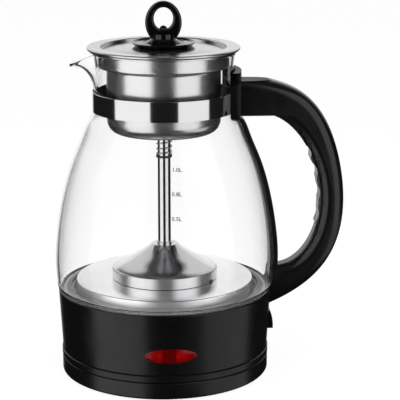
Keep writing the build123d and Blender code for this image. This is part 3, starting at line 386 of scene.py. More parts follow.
@dataclass(frozen=True)
class PlainMetal:
    """Small rolled, pressed or plated metal pieces."""
    name: str
    colour: Colour
    roughness: float = 0.3
    cloud_scale: float = 140.0
    cloud_shade: float = 0.8
    cloud_rough: Span = (0.8, 1.25)
    skin_scale: float = 2400.0
    skin_depth: float = 0.000006

    def material(self) -> bpy.types.Material:
        """Builds the material.

        Returns:
            The built material.
        """
        s = Shader(self.name)
        where = s.place()
        cloud = s.noise(where, self.cloud_scale, 3.0)
        skin = s.noise(where, self.skin_scale)
        least, most = (self.roughness * share for share in self.cloud_rough)
        return s.surface(s.principled({
            "Base Color": s.blend(cloud, shaded(self.colour, self.cloud_shade), self.colour), "Metallic": 1.0,
            "Roughness": s.vary(cloud, least, most), "Normal": s.bump(skin, self.skin_depth, 0.5)}))


@dataclass(frozen=True)
class JugGlass:
    """Clear blown glass, slightly wavy, that lets the lamps' light through."""
    name: str
    colour: Colour = (1.0, 1.0, 1.0, 1.0)
    index: float = 1.25
    gloss: float = 0.09
    wave_scale: float = 26.0
    wave_depth: float = 0.00002
    shadow: Colour = (0.96, 0.96, 0.96, 1.0)

    def material(self) -> bpy.types.Material:
        """Builds the material.

        Returns:
            The built material.
        """
        s = Shader(self.name)
        wave = s.noise(s.place(), self.wave_scale, 1.0)
        glass = s.principled({
            "Base Color": self.colour, "Roughness": 0.0, "IOR": self.index, "Transmission Weight": 1.0,
            "Specular IOR Level": self.gloss, "Normal": s.bump(wave, self.wave_depth)})
        clear = s.node("ShaderNodeBsdfTransparent", {"Color": self.shadow}).outputs[0]
        path = s.node("ShaderNodeLightPath")
        return s.surface(s.node("ShaderNodeMixShader", {
            0: path.outputs["Is Shadow Ray"], 1: glass, 2: clear}).outputs[0])


@dataclass(frozen=True)
class Silicone:
    """Milky translucent silicone of the seals."""
    name: str
    colour: Colour = (0.88, 0.88, 0.87, 1.0)
    roughness: Span = (0.28, 0.4)
    index: float = 1.41
    clearness: float = 0.55
    cloud_scale: float = 90.0
    skin_depth: float = 0.00002

    def material(self) -> bpy.types.Material:
        """Builds the material.

        Returns:
            The built material.
        """
        s = Shader(self.name)
        cloud = s.noise(s.place(), self.cloud_scale, 3.0)
        return s.surface(s.principled({
            "Base Color": self.colour, "Roughness": s.vary(cloud, *self.roughness), "IOR": self.index,
            "Transmission Weight": self.clearness, "Normal": s.bump(cloud, self.skin_depth, 0.4)}))


@dataclass(frozen=True)
class LensPlastic:
    """Deep red transparent plastic of the indicator lens, with painted light: two brighter fields beside the
    lamp stand in for the lamp's glow through the lens.
    """
    name: str
    deep: Colour = (0.16, 0.0004, 0.0006, 1.0)
    # painted light: red of the lamp's glow, painted into the lens's colour
    lamp_glow: Colour = (0.52, 0.002, 0.003, 1.0)
    left_edge: Span = (-0.0068, -0.0048)
    left_share: float = 0.8
    right_edge: Span = (0.0032, 0.0044)
    end_fade: Span = (0.009, 0.0165)
    end_share: float = 0.2
    level: float = 0.0335
    level_fade: Span = (0.001, 0.0045)
    level_share: float = 0.35
    roughness: float = 0.16
    index: float = 1.49
    gloss: float = 0.16
    clearness: float = 0.35

    def material(self) -> bpy.types.Material:
        """Builds the material.

        Returns:
            The built material.
        """
        s = Shader(self.name)
        across, _, level = s.axes(s.place())
        left = s.spread(across, *self.left_edge, self.left_share, 0.0, "SMOOTHSTEP")
        right = s.rise(across, self.right_edge)
        ends = s.spread(s.math("ABSOLUTE", across), *self.end_fade, 1.0, self.end_share)
        off_level = s.math("ABSOLUTE", s.math("SUBTRACT", level, self.level))
        middle = s.spread(off_level, *self.level_fade, 1.0, self.level_share)
        # painted light: share of the lamp's glow in the colour, over the two fields beside the lamp
        share = s.product(s.math("MAXIMUM", left, right), ends, middle)
        return s.surface(s.principled({
            "Base Color": s.blend(share, self.deep, self.lamp_glow), "Roughness": self.roughness,
            "IOR": self.index, "Specular IOR Level": self.gloss, "Transmission Weight": self.clearness}))


@dataclass(frozen=True)
class Printing:
    """Grey heat-fast ink of the level marks."""
    name: str
    colour: Colour = (0.03, 0.03, 0.032, 1.0)
    lighter: Colour = (0.08, 0.08, 0.082, 1.0)
    patch_scale: float = 900.0
    patch_share: float = 0.8
    roughness: float = 0.5

    def material(self) -> bpy.types.Material:
        """Builds the material.

        Returns:
            The built material.
        """
        s = Shader(self.name)
        patchy = s.noise(s.place(), self.patch_scale, 3.0)
        share = s.spread(patchy, *WORN_MIDDLE, 0.0, self.patch_share)
        return s.surface(s.principled({
            "Base Color": s.blend(share, self.colour, self.lighter), "Roughness": self.roughness}))


class Palette:
    """Finishes of the record's slots, each built once."""

    FINISHES = {
        Slot.SHELL: MouldedPlastic("shell_black", (0.004, 0.004, 0.0042, 1.0), roughness=0.26),
        Slot.HOUSING: MouldedPlastic("housing_black", (0.0035, 0.0035, 0.0037, 1.0), roughness=0.28),
        Slot.HANDLE: MouldedPlastic("handle_black", (0.004, 0.004, 0.0042, 1.0), roughness=0.24,
                                    skin_scale=1100.0, skin_depth=0.000005, shine=0.5, matt_over=212.4),
        Slot.INSERT: SoftRubber("insert_black", (0.02, 0.02, 0.021, 1.0), roughness=0.26,
                                grain_depth=0.000006),
        Slot.INNER: MouldedPlastic("inner_plastic", (0.03, 0.03, 0.031, 1.0), roughness=0.5),
        Slot.RUBBER: SoftRubber("rubber_black", (0.014, 0.014, 0.014, 1.0), roughness=0.55),
        Slot.SILICONE: Silicone("silicone_clear"),
        Slot.GLASS: JugGlass("jug_glass"),
        Slot.POLISHED: TurnedSteel("steel_polished", (0.67, 0.67, 0.68, 1.0), roughness=0.09, uneven=0.015,
                                   depth=0.0000012),
        Slot.BRUSHED: TurnedSteel("steel_brushed", (0.66, 0.66, 0.67, 1.0), roughness=0.22, uneven=0.05,
                                  depth=0.000005, lines=4800.0, stretch=0.4),
        Slot.PLATE: TurnedSteel("steel_plate", (0.97, 0.97, 0.98, 1.0), roughness=0.21, uneven=0.04,
                                depth=0.000004, lines=4200.0, stretch=0.3, matt_under=69.0, matt=0.14),
        Slot.SCREW: PlainMetal("screw_steel", (0.50, 0.50, 0.51, 1.0), roughness=0.32),
        Slot.ALUMINIUM: PlainMetal("aluminium", (0.72, 0.72, 0.73, 1.0), roughness=0.4),
        Slot.BRASS: PlainMetal("brass", (0.72, 0.55, 0.26, 1.0), roughness=0.28),
        Slot.LENS: LensPlastic("red_lens"),
        Slot.NEON: MouldedPlastic("neon", (0.85, 0.45, 0.3, 1.0), roughness=0.1),
        Slot.WHITE: MouldedPlastic("white_plastic", (0.72, 0.71, 0.69, 1.0), roughness=0.45),
    }

    def __init__(self) -> None:
        """Starts with no material built."""
        self.built: dict[Slot, bpy.types.Material] = {}

    def material(self, slot: Slot) -> bpy.types.Material:
        """Returns the slot's material.

        Args:
            slot: Slot of the record.

        Returns:
            Its material, built at the first call.
        """
        if slot not in self.built:
            self.built[slot] = self.FINISHES[slot].material()
        return self.built[slot]

    def dress_node(self, node: str, slot: Slot) -> None:
        """Gives a CAD node the slot's finish."""
        self.dress(frame["nodes"][node], slot)

    def dress(self, piece: bpy.types.Object, slot: Slot) -> None:
        """Gives any piece the slot's finish.

        Args:
            piece: Object to dress.
            slot: Slot of the record.
        """
        if not piece.material_slots:
            piece.data.materials.append(self.material(slot))
        for place in piece.material_slots:
            place.material = self.material(slot)


# ---------------------------------------------------------------- outlines and meshes
def spline_through(points: Sequence[Point], start: Point, end: Point, count: int) -> list[Point]:
    """Smooth line through points, with given directions at its ends.

    Args:
        points: Points in the RZ plane.
        start: Direction at the first point, of length 1.
        end: Direction at the last point, of length 1.
        count: Number of points wanted, evenly spread over the line.

    Returns:
        Points of a clamped cubic spline.
    """
    knots = [0.0]
    for a, b in zip(points, points[1:]):
        knots.append(knots[-1] + math.dist(a, b))
    gaps = [b - a for a, b in zip(knots, knots[1:])]
    slopes = []
    for axis in (0, 1):
        values = [p[axis] for p in points]
        last = len(points) - 1
        rows = [[0.0, 1.0, 0.0, start[axis]]]
        for i in range(1, last):
            left, right = gaps[i - 1], gaps[i]
            pull = 3 * (right / left * (values[i] - values[i - 1])
                        + left / right * (values[i + 1] - values[i]))
            rows.append([right, 2 * (left + right), left, pull])
        rows.append([0.0, 1.0, 0.0, end[axis]])
        for i in range(1, last + 1):
            share = rows[i][0] / rows[i - 1][1]
            rows[i][1] -= share * rows[i - 1][2]
            rows[i][3] -= share * rows[i - 1][3]
        line = [0.0] * (last + 1)
        line[last] = rows[last][3] / rows[last][1]
        for i in range(last - 1, -1, -1):
            line[i] = (rows[i][3] - rows[i][2] * line[i + 1]) / rows[i][1]
        slopes.append(line)
    made = []
    for step in range(count):
        at = knots[-1] * step / (count - 1)
        i = max(k for k in range(len(gaps)) if knots[k] <= at + 1e-12)
        t = (at - knots[i]) / gaps[i]
        h00, h10 = 2 * t ** 3 - 3 * t ** 2 + 1, t ** 3 - 2 * t ** 2 + t
        h01, h11 = -2 * t ** 3 + 3 * t ** 2, t ** 3 - t ** 2
        made.append(tuple(
            h00 * points[i][axis] + h10 * gaps[i] * slopes[axis][i]
            + h01 * points[i + 1][axis] + h11 * gaps[i] * slopes[axis][i + 1] for axis in (0, 1)))
    return made


def arc(centre: Point, radius: float, start: float, end: float, count: int) -> list[Point]:
    """Points of an arc between two angles in degrees.

    Args:
        centre: Middle of the arc.
        radius: Its radius.
        start: First angle.
        end: Last angle.
        count: Number of points.

    Returns:
        The points, from the first angle to the last.
    """
    made = []
    for step in range(count):
        angle = math.radians(start + (end - start) * step / (count - 1))
        made.append((centre[0] + radius * math.cos(angle), centre[1] + radius * math.sin(angle)))
    return made


def link(piece: bpy.types.Object) -> None:
    """Puts an object into the scene."""
    bpy.context.scene.collection.objects.link(piece)


def finish_mesh(name: str, made: bmesh.types.BMesh, sharp: float = 35.0) -> bpy.types.Object:
    """Turns a bmesh into a smooth-shaded object at the origin.

    Args:
        name: Name of the piece.
        made: The mesh, in metres; it is freed.
        sharp: Angle in degrees past which an edge stays sharp.

    Returns:
        The new object, linked to the scene.
    """
    bmesh.ops.remove_doubles(made, verts=made.verts, dist=MERGE)
    bmesh.ops.recalc_face_normals(made, faces=made.faces)
    mesh = bpy.data.meshes.new(name)
    made.to_mesh(mesh)
    made.free()
    mesh.polygons.foreach_set("use_smooth", [True] * len(mesh.polygons))
    mesh.set_sharp_from_angle(angle=math.radians(sharp))
    piece = bpy.data.objects.new(name, mesh)
    link(piece)
    return piece


def loft_rings(made: bmesh.types.BMesh, rings: Sequence[Sequence[Vector]], closed: bool) -> None:
    """Joins rings of points with quads.

    Args:
        made: Mesh that gets the faces.
        rings: Rings of equally many points.
        closed: True to join the last ring to the first.
    """
    verts = [[made.verts.new(point) for point in ring] for ring in rings]
    count = len(verts[0])
    pairs = list(zip(verts, verts[1:])) + ([(verts[-1], verts[0])] if closed else [])
    for low, high in pairs:
        for i in range(count):
            k = (i + 1) % count
            made.faces.new((low[i], low[k], high[k], high[i]))


def settle(piece: bpy.types.Object, body: Body, slot: Slot, palette: Palette,
           *nodes: str) -> bpy.types.Object:
    """Dresses a piece, puts it on a body and lets it stand for CAD nodes.

    Args:
        piece: The finished object.
        body: Body that it rides on.
        slot: Slot that it takes its finish from.
        palette: The built finishes.
        nodes: CAD nodes that it replaces.

    Returns:
        The piece.
    """
    palette.dress(piece, slot)
    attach(piece, body.value)
    if nodes:
        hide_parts(*nodes)
    LOG.info("%s on %s: %d faces", piece.name, body.value, len(piece.data.polygons))
    return piece


def bake(piece: bpy.types.Object, name: str) -> bpy.types.Object:
    """Replaces an object with modifiers by a plain mesh object of what they make.

    Args:
        piece: Object to replace; it is removed.
        name: Name of the plain one.

    Returns:
        The plain object, linked to the scene.
    """
    bpy.context.view_layer.update()
    shown = piece.evaluated_get(bpy.context.evaluated_depsgraph_get())
    mesh = bpy.data.meshes.new_from_object(shown)
    bpy.data.objects.remove(piece)
    mesh.name = name
    plain = bpy.data.objects.new(name, mesh)
    link(plain)
    return plain


class GeometryTree(Graph):
    """Geometry Nodes tree with named inputs that ends in Realize Instances and Set Material."""

    def __init__(self, name: str, sizes: dict[str, float]) -> None:
        """Makes the tree and one float input for each size.

        Args:
            name: Name of the tree.
            sizes: Input name to its value, in metres, degrees or counts.
        """
        tree = bpy.data.node_groups.new(name, "GeometryNodeTree")
        super().__init__(tree)
        self.sizes = sizes
        self.sockets: dict[str, str] = {}
        tree.interface.new_socket("Geometry", in_out="INPUT", socket_type="NodeSocketGeometry")
        for label in sizes:
            made = tree.interface.new_socket(label, in_out="INPUT", socket_type="NodeSocketFloat")
            self.sockets[label] = made.identifier
        tree.interface.new_socket("Geometry", in_out="OUTPUT", socket_type="NodeSocketGeometry")
        self.entry = self.node("NodeGroupInput")

    def size(self, label: str) -> Socket:
        """Output socket of a named size."""
        return self.entry.outputs[label]

    def make(self, name: str, geometry: Socket, material: bpy.types.Material,
             points: Sequence[Vector] = ()) -> bpy.types.Object:
        """Ends the tree and bakes it.

        Args:
            name: Name of the piece.
            geometry: What the tree has built.
            material: Material of all its faces.
            points: Points that enter the tree, in metres.

        Returns:
            A plain mesh object.
        """
        solid = self.node("GeometryNodeRealizeInstances", {0: geometry}).outputs[0]
        painted = self.node("GeometryNodeSetMaterial", {"Geometry": solid, "Material": material}).outputs[0]
        self.node("NodeGroupOutput", {0: painted})
        start = bpy.data.meshes.new(name + "_tree")
        start.from_pydata([tuple(point) for point in points], [], [])
        carrier = bpy.data.objects.new(name + "_tree", start)
        link(carrier)
        modifier = carrier.modifiers.new("build", "NODES")
        modifier.node_group = self.tree
        for label, value in self.sizes.items():
            modifier[self.sockets[label]] = float(value)
        return bake(carrier, name)


# ---------------------------------------------------------------- sub-assemblies
@dataclass
class GlassJug:
    """Pear-shaped glass jug with its pouring beak and the level marks. Sizes are in millimetres."""
    palette: Palette
    wall: float = 2.0
    foot_in: float = 67.6
    foot_width: float = 1.2
    heel: float = 7.0
    heel_rise: float = 4.6
    heel_centre: float = 70.9
    heel_stop: float = -4.0
    heel_steps: int = 12
    belly: float = 78.4
    belly_rise: float = 15.8
    shoulder: float = 113.6
    shoulder_power: float = 2.15
    shoulder_shares: tuple[float, ...] = (0, 0.25, 0.5, 0.7, 0.85, 0.95)
    shoulder_steps: int = 46
    neck: float = 49.2
    neck_height: float = 24.6
    neck_steps: int = 5
    mouth: float = 50.6
    mouth_lean: float = 0.15
    flare: float = 17.0
    flare_steps: int = 14
    bead_steps: int = 8
    beak_angle: float = 180.0
    beak_spread: float = 17.4
    beak_flat: float = 2.6
    beak_reach: float = 14.4
    beak_drop: float = 9.0
    beak_height: float = 27.0
    beak_flank: Span = (0.55, 0.45)
    beak_reach_power: float = 1.9
    beak_drop_power: float = 3.2
    fine_half: float = 20.0
    fine_step: float = 0.8
    fine_count: int = 50
    wide_count: int = 150
    mark_height: float = 3.3
    mark_font: float = 1.38
    mark_depth: float = 0.03
    mark_weight: float = 0.07
    mark_gap: float = 0.06
    mark_start: float = 9.6
    marks: dict[str, float] = field(default_factory=lambda: {"1.0L": 131.4, "0.8L": 111.3, "0.5L": 91.1})

    def foot(self) -> float:
        """Level of the glass foot, from the frame."""
        return span_mm("glass_jug")[0].z

    def side(self) -> list[Point]:
        """Outer line of the glass from its foot to its mouth.

        Returns:
            Radius and level of each point, in millimetres.
        """
        low = self.foot()
        belly_z = low + self.belly_rise
        neck_z = belly_z + self.shoulder
        line = [(self.foot_in, low), (self.foot_in + self.foot_width, low)]
        squash = self.heel_rise / self.heel
        heel = arc((self.heel_centre, 0), self.heel, -90, self.heel_stop, self.heel_steps)
        line += [(r, low + self.heel_rise + z * squash) for r, z in heel]
        points = [(self.heel_centre + self.heel, low + self.heel_rise)]
        for share in self.shoulder_shares:
            radius = self.neck + (self.belly - self.neck) * (1 - share ** self.shoulder_power)
            points.append((radius, belly_z + self.shoulder * share))
        line += spline_through(points + [(self.neck, neck_z)], (0, 1), (0, 1), self.shoulder_steps)
        top = neck_z + self.neck_height
        line += [(self.neck, neck_z + self.neck_height * step / self.neck_steps)
                 for step in range(1, self.neck_steps)]
        slant = math.hypot(self.mouth_lean, 1)
        mouth = (self.mouth, top + self.flare - self.wall / 2)
        line += spline_through([(self.neck, top), mouth], (0, 1), (self.mouth_lean / slant, 1 / slant),
                               self.flare_steps)
        return line

    def angles(self) -> list[float]:
        """Angles of the grid round the axis, closer at the beak.

        Returns:
            The angles in degrees, once round.
        """
        start, end = self.beak_angle - self.fine_half, self.beak_angle + self.fine_half
        fine = [start + self.fine_step * i for i in range(self.fine_count)]
        rest = 360 - 2 * self.fine_half
        return fine + [end + rest * i / self.wide_count for i in range(self.wide_count)]

    def point(self, radius: float, level: float, angle: float) -> Vector:
        """Point of the outer face, with the beak drawn out of the neck.

        Args:
            radius: Radius of the round jug, in millimetres.
            level: Its level, in millimetres.
            angle: Angle round the axis, in degrees.

        Returns:
            The point, in metres.
        """
        off = abs((angle - self.beak_angle + 180) % 360 - 180)
        share = min(max((self.beak_spread - off) / (self.beak_spread - self.beak_flat), 0.0), 1.0)
        straight, rounded = self.beak_flank
        share = straight * share + rounded * share * share * (3 - 2 * share)
        top = self.foot() + self.belly_rise + self.shoulder + self.neck_height + self.flare - self.wall / 2
        rise = min(max((level - top + self.beak_height) / self.beak_height, 0.0), 1.0)
        radius += self.beak_reach * share * rise ** self.beak_reach_power
        level -= self.beak_drop * share * rise ** self.beak_drop_power
        turn = math.radians(angle)
        return Vector((radius * math.cos(turn), radius * math.sin(turn), level)) * MM

    def shell(self) -> bpy.types.Object:
        """Builds the closed glass wall: outer face, beaded rim, inner face and foot.

        Returns:
            The glass piece.
        """
        angles = self.angles()
        outer = [[self.point(r, z, a) for a in angles] for r, z in self.side()]
        count, last = len(angles), len(outer) - 1
        normals = []
        for j, ring in enumerate(outer):
            row = []
            for i in range(count):
                round_ = ring[(i + 1) % count] - ring[i - 1]
                up = outer[min(j + 1, last)][i] - outer[max(j - 1, 0)][i]
                if j == 0:
                    row.append(Vector((0, 0, -1)))
                else:
                    row.append(round_.cross(up).normalized())
            normals.append(row)
        inner = [[p - n * self.wall * MM for p, n in zip(ring, row)] for ring, row in zip(outer, normals)]
        for i in range(count):
            inner[1][i] = Vector((outer[1][i].x, outer[1][i].y, inner[0][i].z))
        bead = []
        for step in range(1, self.bead_steps):
            turn = math.pi * step / self.bead_steps
            ring = []
            for i in range(count):
                middle = (outer[last][i] + inner[last][i]) / 2
                up = (outer[last][i] - outer[last - 1][i]).normalized()
                out = (outer[last][i] - inner[last][i]) / 2
                ring.append(middle + out * math.cos(turn) + up * out.length * math.sin(turn))
            bead.append(ring)
        made = bmesh.new()
        loft_rings(made, outer + bead + inner[::-1], True)
        return finish_mesh("glass_wall", made, sharp=50.0)

    def mark(self, text: str, level: float) -> bpy.types.Object:
        """Builds one level mark, bent round the back of the glass so that it reads from the front.

        Args:
            text: What the mark says.
            level: Level of its middle, in millimetres.

        Returns:
            The mark's piece, undressed.
        """
        curve = bpy.data.curves.new("mark_text", "FONT")
        curve.body = text
        curve.size = self.mark_height * self.mark_font * MM
        curve.extrude = self.mark_depth * MM
        curve.offset = self.mark_weight * MM
        curve.align_x = "LEFT"
        curve.resolution_u = 6
        word = bpy.data.objects.new("mark_text", curve)
        link(word)
        plain = bake(word, "level_mark_" + text.replace(".", "_"))
        made = bmesh.new()
        made.from_mesh(plain.data)
        bmesh.ops.remove_doubles(made, verts=made.verts, dist=MERGE / 10)
        line = self.side()[2 + self.heel_steps:]
        for vert in made.verts:
            x, z = vert.co.x / MM + self.mark_start, level + vert.co.y / MM - self.mark_height / 2
            a, b = next((p, q) for p, q in zip(line, line[1:]) if q[1] >= z)
            radius = a[0] + (b[0] - a[0]) * (z - a[1]) / (b[1] - a[1]) + self.mark_gap + vert.co.z / MM
            vert.co = Vector((x, math.sqrt(radius * radius - x * x), z)) * MM
        bmesh.ops.recalc_face_normals(made, faces=made.faces)
        made.to_mesh(plain.data)
        made.free()
        return plain

    def build(self) -> None:
        """Builds the glass and its marks."""
        settle(self.shell(), Body.JUG, Slot.GLASS, self.palette, "glass_jug")
        ink = Printing("mark_ink").material()
        for text, level in self.marks.items():
            piece = self.mark(text, level)
            piece.data.materials.clear()
            piece.data.materials.append(ink)
            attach(piece, Body.JUG.value)
            LOG.info("%s on jug", piece.name)


@dataclass
class IndicatorLens:
    """Oval red lens in the front of the housing: domed outside, with upright prisms on its back."""
    palette: Palette
    half_width: float = 18.1
    half_height: float = 5.25
    centre: float = 33.0
    low_radius: float = 74.3
    high_radius: float = 76.8
    wall: float = 2.4
    proud: float = 0.8
    columns: int = 44
    rows: int = 14
    prism: float = 0.55
    prism_fade: float = 3.0
    end_gap: float = 0.04
    run: float = 0.92
    lift: float = 0.1
    dome_power: float = 0.6
    foot_top: float = 14.0
    taper_start: float = 18.5

    def housing(self, level: float) -> float:
        """Radius of the tapered housing at a level.

        Args:
            level: Level in millimetres.

        Returns:
            The radius in millimetres.
        """
        low, high = (corner.z for corner in span_mm("heater_housing"))
        low_edge = low if low > self.foot_top else self.taper_start
        return self.low_radius + (self.high_radius - self.low_radius) * (level - low_edge) / (high - low_edge)

    def skin(self, back: bool) -> list[list[Vector]]:
        """Grid of points of the front or the back face, column by column.

        Args:
            back: True for the back face.

        Returns:
            Columns of points, in metres.
        """
        grid = []
        for c in range(self.columns + 1):
            along = math.pi * (self.end_gap + self.run * c / self.columns)
            share = -math.cos(along) / math.cos(self.end_gap * math.pi)
            x = self.half_width * share
            tall = self.half_height * math.sqrt(max(1 - share * share, 0.0))
            column = []
            for r in range(self.rows + 1):
                v = -1 + 2 * r / self.rows
                z = self.centre + tall * v
                dome = max(1 - share * share - (tall * v / self.half_height) ** 2, 0.0)
                if back:
                    ridge = self.prism * (c % 2) * min(dome * self.prism_fade, 1.0)
                    radius = self.housing(z) - self.wall + ridge
                else:
                    radius = self.housing(z) + self.lift + self.proud * dome ** self.dome_power
                column.append(Vector((x, -math.sqrt(radius ** 2 - x ** 2), z)) * MM)
            grid.append(column)
        return grid

    def build(self) -> None:
        """Builds the lens."""
        made = bmesh.new()
        sheets = []
        for back in (False, True):
            grid = [[made.verts.new(p) for p in column] for column in self.skin(back)]
            for a, b in zip(grid, grid[1:]):
                for i in range(self.rows):
                    made.faces.new((a[i], b[i], b[i + 1], a[i + 1]))
            edge = [column[0] for column in grid] + grid[-1][1:]
            edge += [column[-1] for column in reversed(grid[:-1])] + grid[0][-2:0:-1]
            sheets.append(edge)
        front, rear = sheets
        for i in range(len(front)):
            k = (i + 1) % len(front)
            if front[i] is not front[k]:
                made.faces.new((front[i], front[k], rear[k], rear[i]))
        window = finish_mesh("indicator_window", made, sharp=20.0)
        settle(window, Body.JUG, Slot.LENS, self.palette, "indicator_lens")


@dataclass
class TubeSpring:
    """Helical spring between the basket's bush and the seat on the steam tube."""
    palette: Palette
    wire: float = 0.5
    mean: float = 5.4
    turns: float = 4.6
    steps: int = 220
    sides: int = 12
    even: float = 0.5

    def build(self) -> None:
        """Builds the spring and hides the node that it replaces."""
        low, high = (corner.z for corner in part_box("tube_spring"))
        wire = self.wire * MM
        tree = GeometryTree("spring_tree", {
            "Wire": wire, "Mean": self.mean * MM, "Low": low + wire, "Rise": high - low - 2 * wire,
            "Turns": self.turns})
        line = tree.node("GeometryNodeCurvePrimitiveLine", {"End": (0.0, 0.0, 1.0)}).outputs[0]
        path = tree.node("GeometryNodeResampleCurve", {"Curve": line, "Count": self.steps}).outputs[0]
        share = tree.node("GeometryNodeSplineParameter").outputs["Factor"]
        turn = tree.product(share, tree.size("Turns"), math.tau)
        eased = tree.node("ShaderNodeMapRange", {"Value": share}, interpolation_type="SMOOTHSTEP").outputs[0]
        level = tree.either(self.even, share, eased)
        level = tree.math("MULTIPLY_ADD", level, tree.size("Rise"), tree.size("Low"))
        place = tree.vector(tree.product(tree.math("COSINE", turn), tree.size("Mean")),
                            tree.product(tree.math("SINE", turn), tree.size("Mean")), level)
        coil = tree.node("GeometryNodeSetPosition", {"Geometry": path, "Position": place}).outputs[0]
        section = tree.node("GeometryNodeCurvePrimitiveCircle", {
            "Resolution": self.sides, "Radius": tree.size("Wire")}).outputs[0]
        mesh = tree.node("GeometryNodeCurveToMesh", {
            "Curve": coil, "Profile Curve": section, "Fill Caps": True}).outputs[0]
        smooth = tree.node("GeometryNodeSetShadeSmooth", {"Geometry": mesh}).outputs[0]
        spring = tree.make("coil_spring", smooth, self.palette.material(Slot.POLISHED))
        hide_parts("tube_spring")
        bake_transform(spring)
        LOG.info("coil_spring: %d faces", len(spring.data.polygons))


@dataclass
class Screws:
    """Cross-recessed screws of one node. Sizes are in millimetres, turns in degrees.

    Places are the middles of the heads' outer faces. Rim and dome are shares of the head's thickness,
    crown and bar shares of its radius, which is called head.
    """
    palette: Palette
    node: str
    body: Body
    places: Sequence[Place]
    turn: Place
    shank: float
    head: float
    thick: float
    length: float
    sides: int = 24
    rim: float = 0.6
    dome: float = 0.4
    crown: float = 0.82
    bar: Span = (1.1, 0.28)

    def build(self) -> None:
        """Builds one screw with its head up and puts it at every place."""
        turns = {"Turn " + axis: math.radians(angle) for axis, angle in zip("XYZ", self.turn)}
        tree = GeometryTree(self.node + "_tree", {
            "Shank": self.shank * MM, "Head": self.head * MM, "Thick": self.thick * MM,
            "Length": self.length * MM, **turns})
        head, thick, shank = tree.size("Head"), tree.size("Thick"), tree.size("Shank")
        length = tree.size("Length")
        dome = tree.product(thick, self.dome)
        parts = (self.drum(tree, head, head, tree.product(thick, self.rim), thick),
                 self.drum(tree, tree.product(head, self.crown), head, dome, dome),
                 self.drum(tree, shank, shank, tree.math("SUBTRACT", length, thick), length))
        solid = tree.node("GeometryNodeMeshBoolean", operation="UNION", solver="EXACT")
        for part in parts:
            tree.tree.links.new(part, solid.inputs["Mesh 2"])
        recess = tree.node("GeometryNodeMeshBoolean", {"Mesh 1": solid.outputs[0]}, operation="DIFFERENCE",
                           solver="EXACT")
        for wide, deep in (self.bar, self.bar[::-1]):
            bar = tree.vector(tree.product(head, wide), tree.product(head, deep), thick)
            cube = tree.node("GeometryNodeMeshCube", {"Size": bar}).outputs[0]
            tree.tree.links.new(cube, recess.inputs["Mesh 2"])
        put = tree.node("GeometryNodeInstanceOnPoints", {
            "Points": tree.entry.outputs["Geometry"], "Instance": recess.outputs[0],
            "Rotation": tree.vector(*(tree.size(label) for label in turns))}).outputs[0]
        spots = [Vector(place) * MM for place in self.places]
        piece = tree.make(self.node + "_cross", put, self.palette.material(Slot.SCREW), spots)
        settle(piece, self.body, Slot.SCREW, self.palette, self.node)

    def drum(self, tree: GeometryTree, top: Any, low: Any, deep: Any, under: Any) -> Socket:
        """Adds a cone or rod of a depth whose foot lies a distance under the origin.

        Args:
            tree: Tree that it joins.
            top: Upper radius.
            low: Lower radius.
            deep: Its height.
            under: Distance of its foot under the origin.

        Returns:
            The placed cone or rod.
        """
        cone = tree.node("GeometryNodeMeshCone", {
            "Vertices": self.sides, "Radius Top": top, "Radius Bottom": low, "Depth": deep}).outputs[0]
        down = tree.vector(0.0, 0.0, tree.product(under, -1.0))
        return tree.node("GeometryNodeTransform", {"Geometry": cone, "Translation": down}).outputs[0]


def ring_places(radius: float, angles: Iterable[float], level: float) -> list[Place]:
    """Places on a ring round the upright axis, in millimetres and degrees."""
    return [(radius * math.cos(math.radians(a)), radius * math.sin(math.radians(a)), level) for a in angles]


@dataclass
class Fasteners:
    """The screws of base, housing, handle, neck band and lid. Sizes are in millimetres."""
    palette: Palette

    def build(self) -> None:
        """Builds every kind of screw."""
        down, inward, rearward = (180.0, 0.0, 0.0), (0.0, -90.0, 0.0), (-90.0, 0.0, 0.0)
        base = ring_places(radius=60.0, angles=(30, 150, 270), level=1.2)
        housing = ring_places(radius=68.7, angles=(60, 180, 300), level=13.5)
        handle = [(71.463, side * 4.0, 51.3) for side in (-1, 1)]
        Screws(self.palette, "base_screws", Body.POWER_BASE, base, down,
               shank=1.4, head=2.8, thick=1.0, length=8.8).build()
        Screws(self.palette, "housing_screws", Body.JUG, housing, down,
               shank=1.4, head=2.8, thick=1.0, length=19.0).build()
        Screws(self.palette, "handle_screws", Body.JUG, handle, inward,
               shank=1.7, head=2.6, thick=2.0, length=6.89).build()
        Screws(self.palette, "band_screw", Body.JUG, [(54.7, 7.5, 198.35)], rearward,
               shank=1.5, head=2.8, thick=2.0, length=15.0).build()
        Screws(self.palette, "lid_screw", Body.LID, [(0.0, 0.0, 233.33)], down,
               shank=2.0, head=4.0, thick=2.2, length=12.06).build()


@dataclass
class PackedNodes:
    """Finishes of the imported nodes, with the four that differ from their slot."""
    palette: Palette
    knob: MouldedPlastic = MouldedPlastic("knob_black", (0.004, 0.004, 0.0042, 1.0), roughness=0.1,
                                          uneven=0.02, skin_depth=0.000002, shine=0.5)
    bell: TurnedSteel = TurnedSteel("bell_steel", (0.70, 0.70, 0.71, 1.0), roughness=0.14, uneven=0.02,
                                    depth=0.000002, matt_under=77.5)

    def build(self) -> None:
        """Gives every node the finish of its slot, and then the four their own."""
        for row in frame["record"]["subparts"]:
            self.palette.dress_node(row["node"], Slot(row["material_slot"]))
        self.palette.dress_node("lid_disc", Slot.BRUSHED)
        self.palette.dress_node("band_liner", Slot.RUBBER)
        frame["nodes"]["lid_knob"].material_slots[0].material = self.knob.material()
        frame["nodes"]["steam_bell"].material_slots[0].material = self.bell.material()


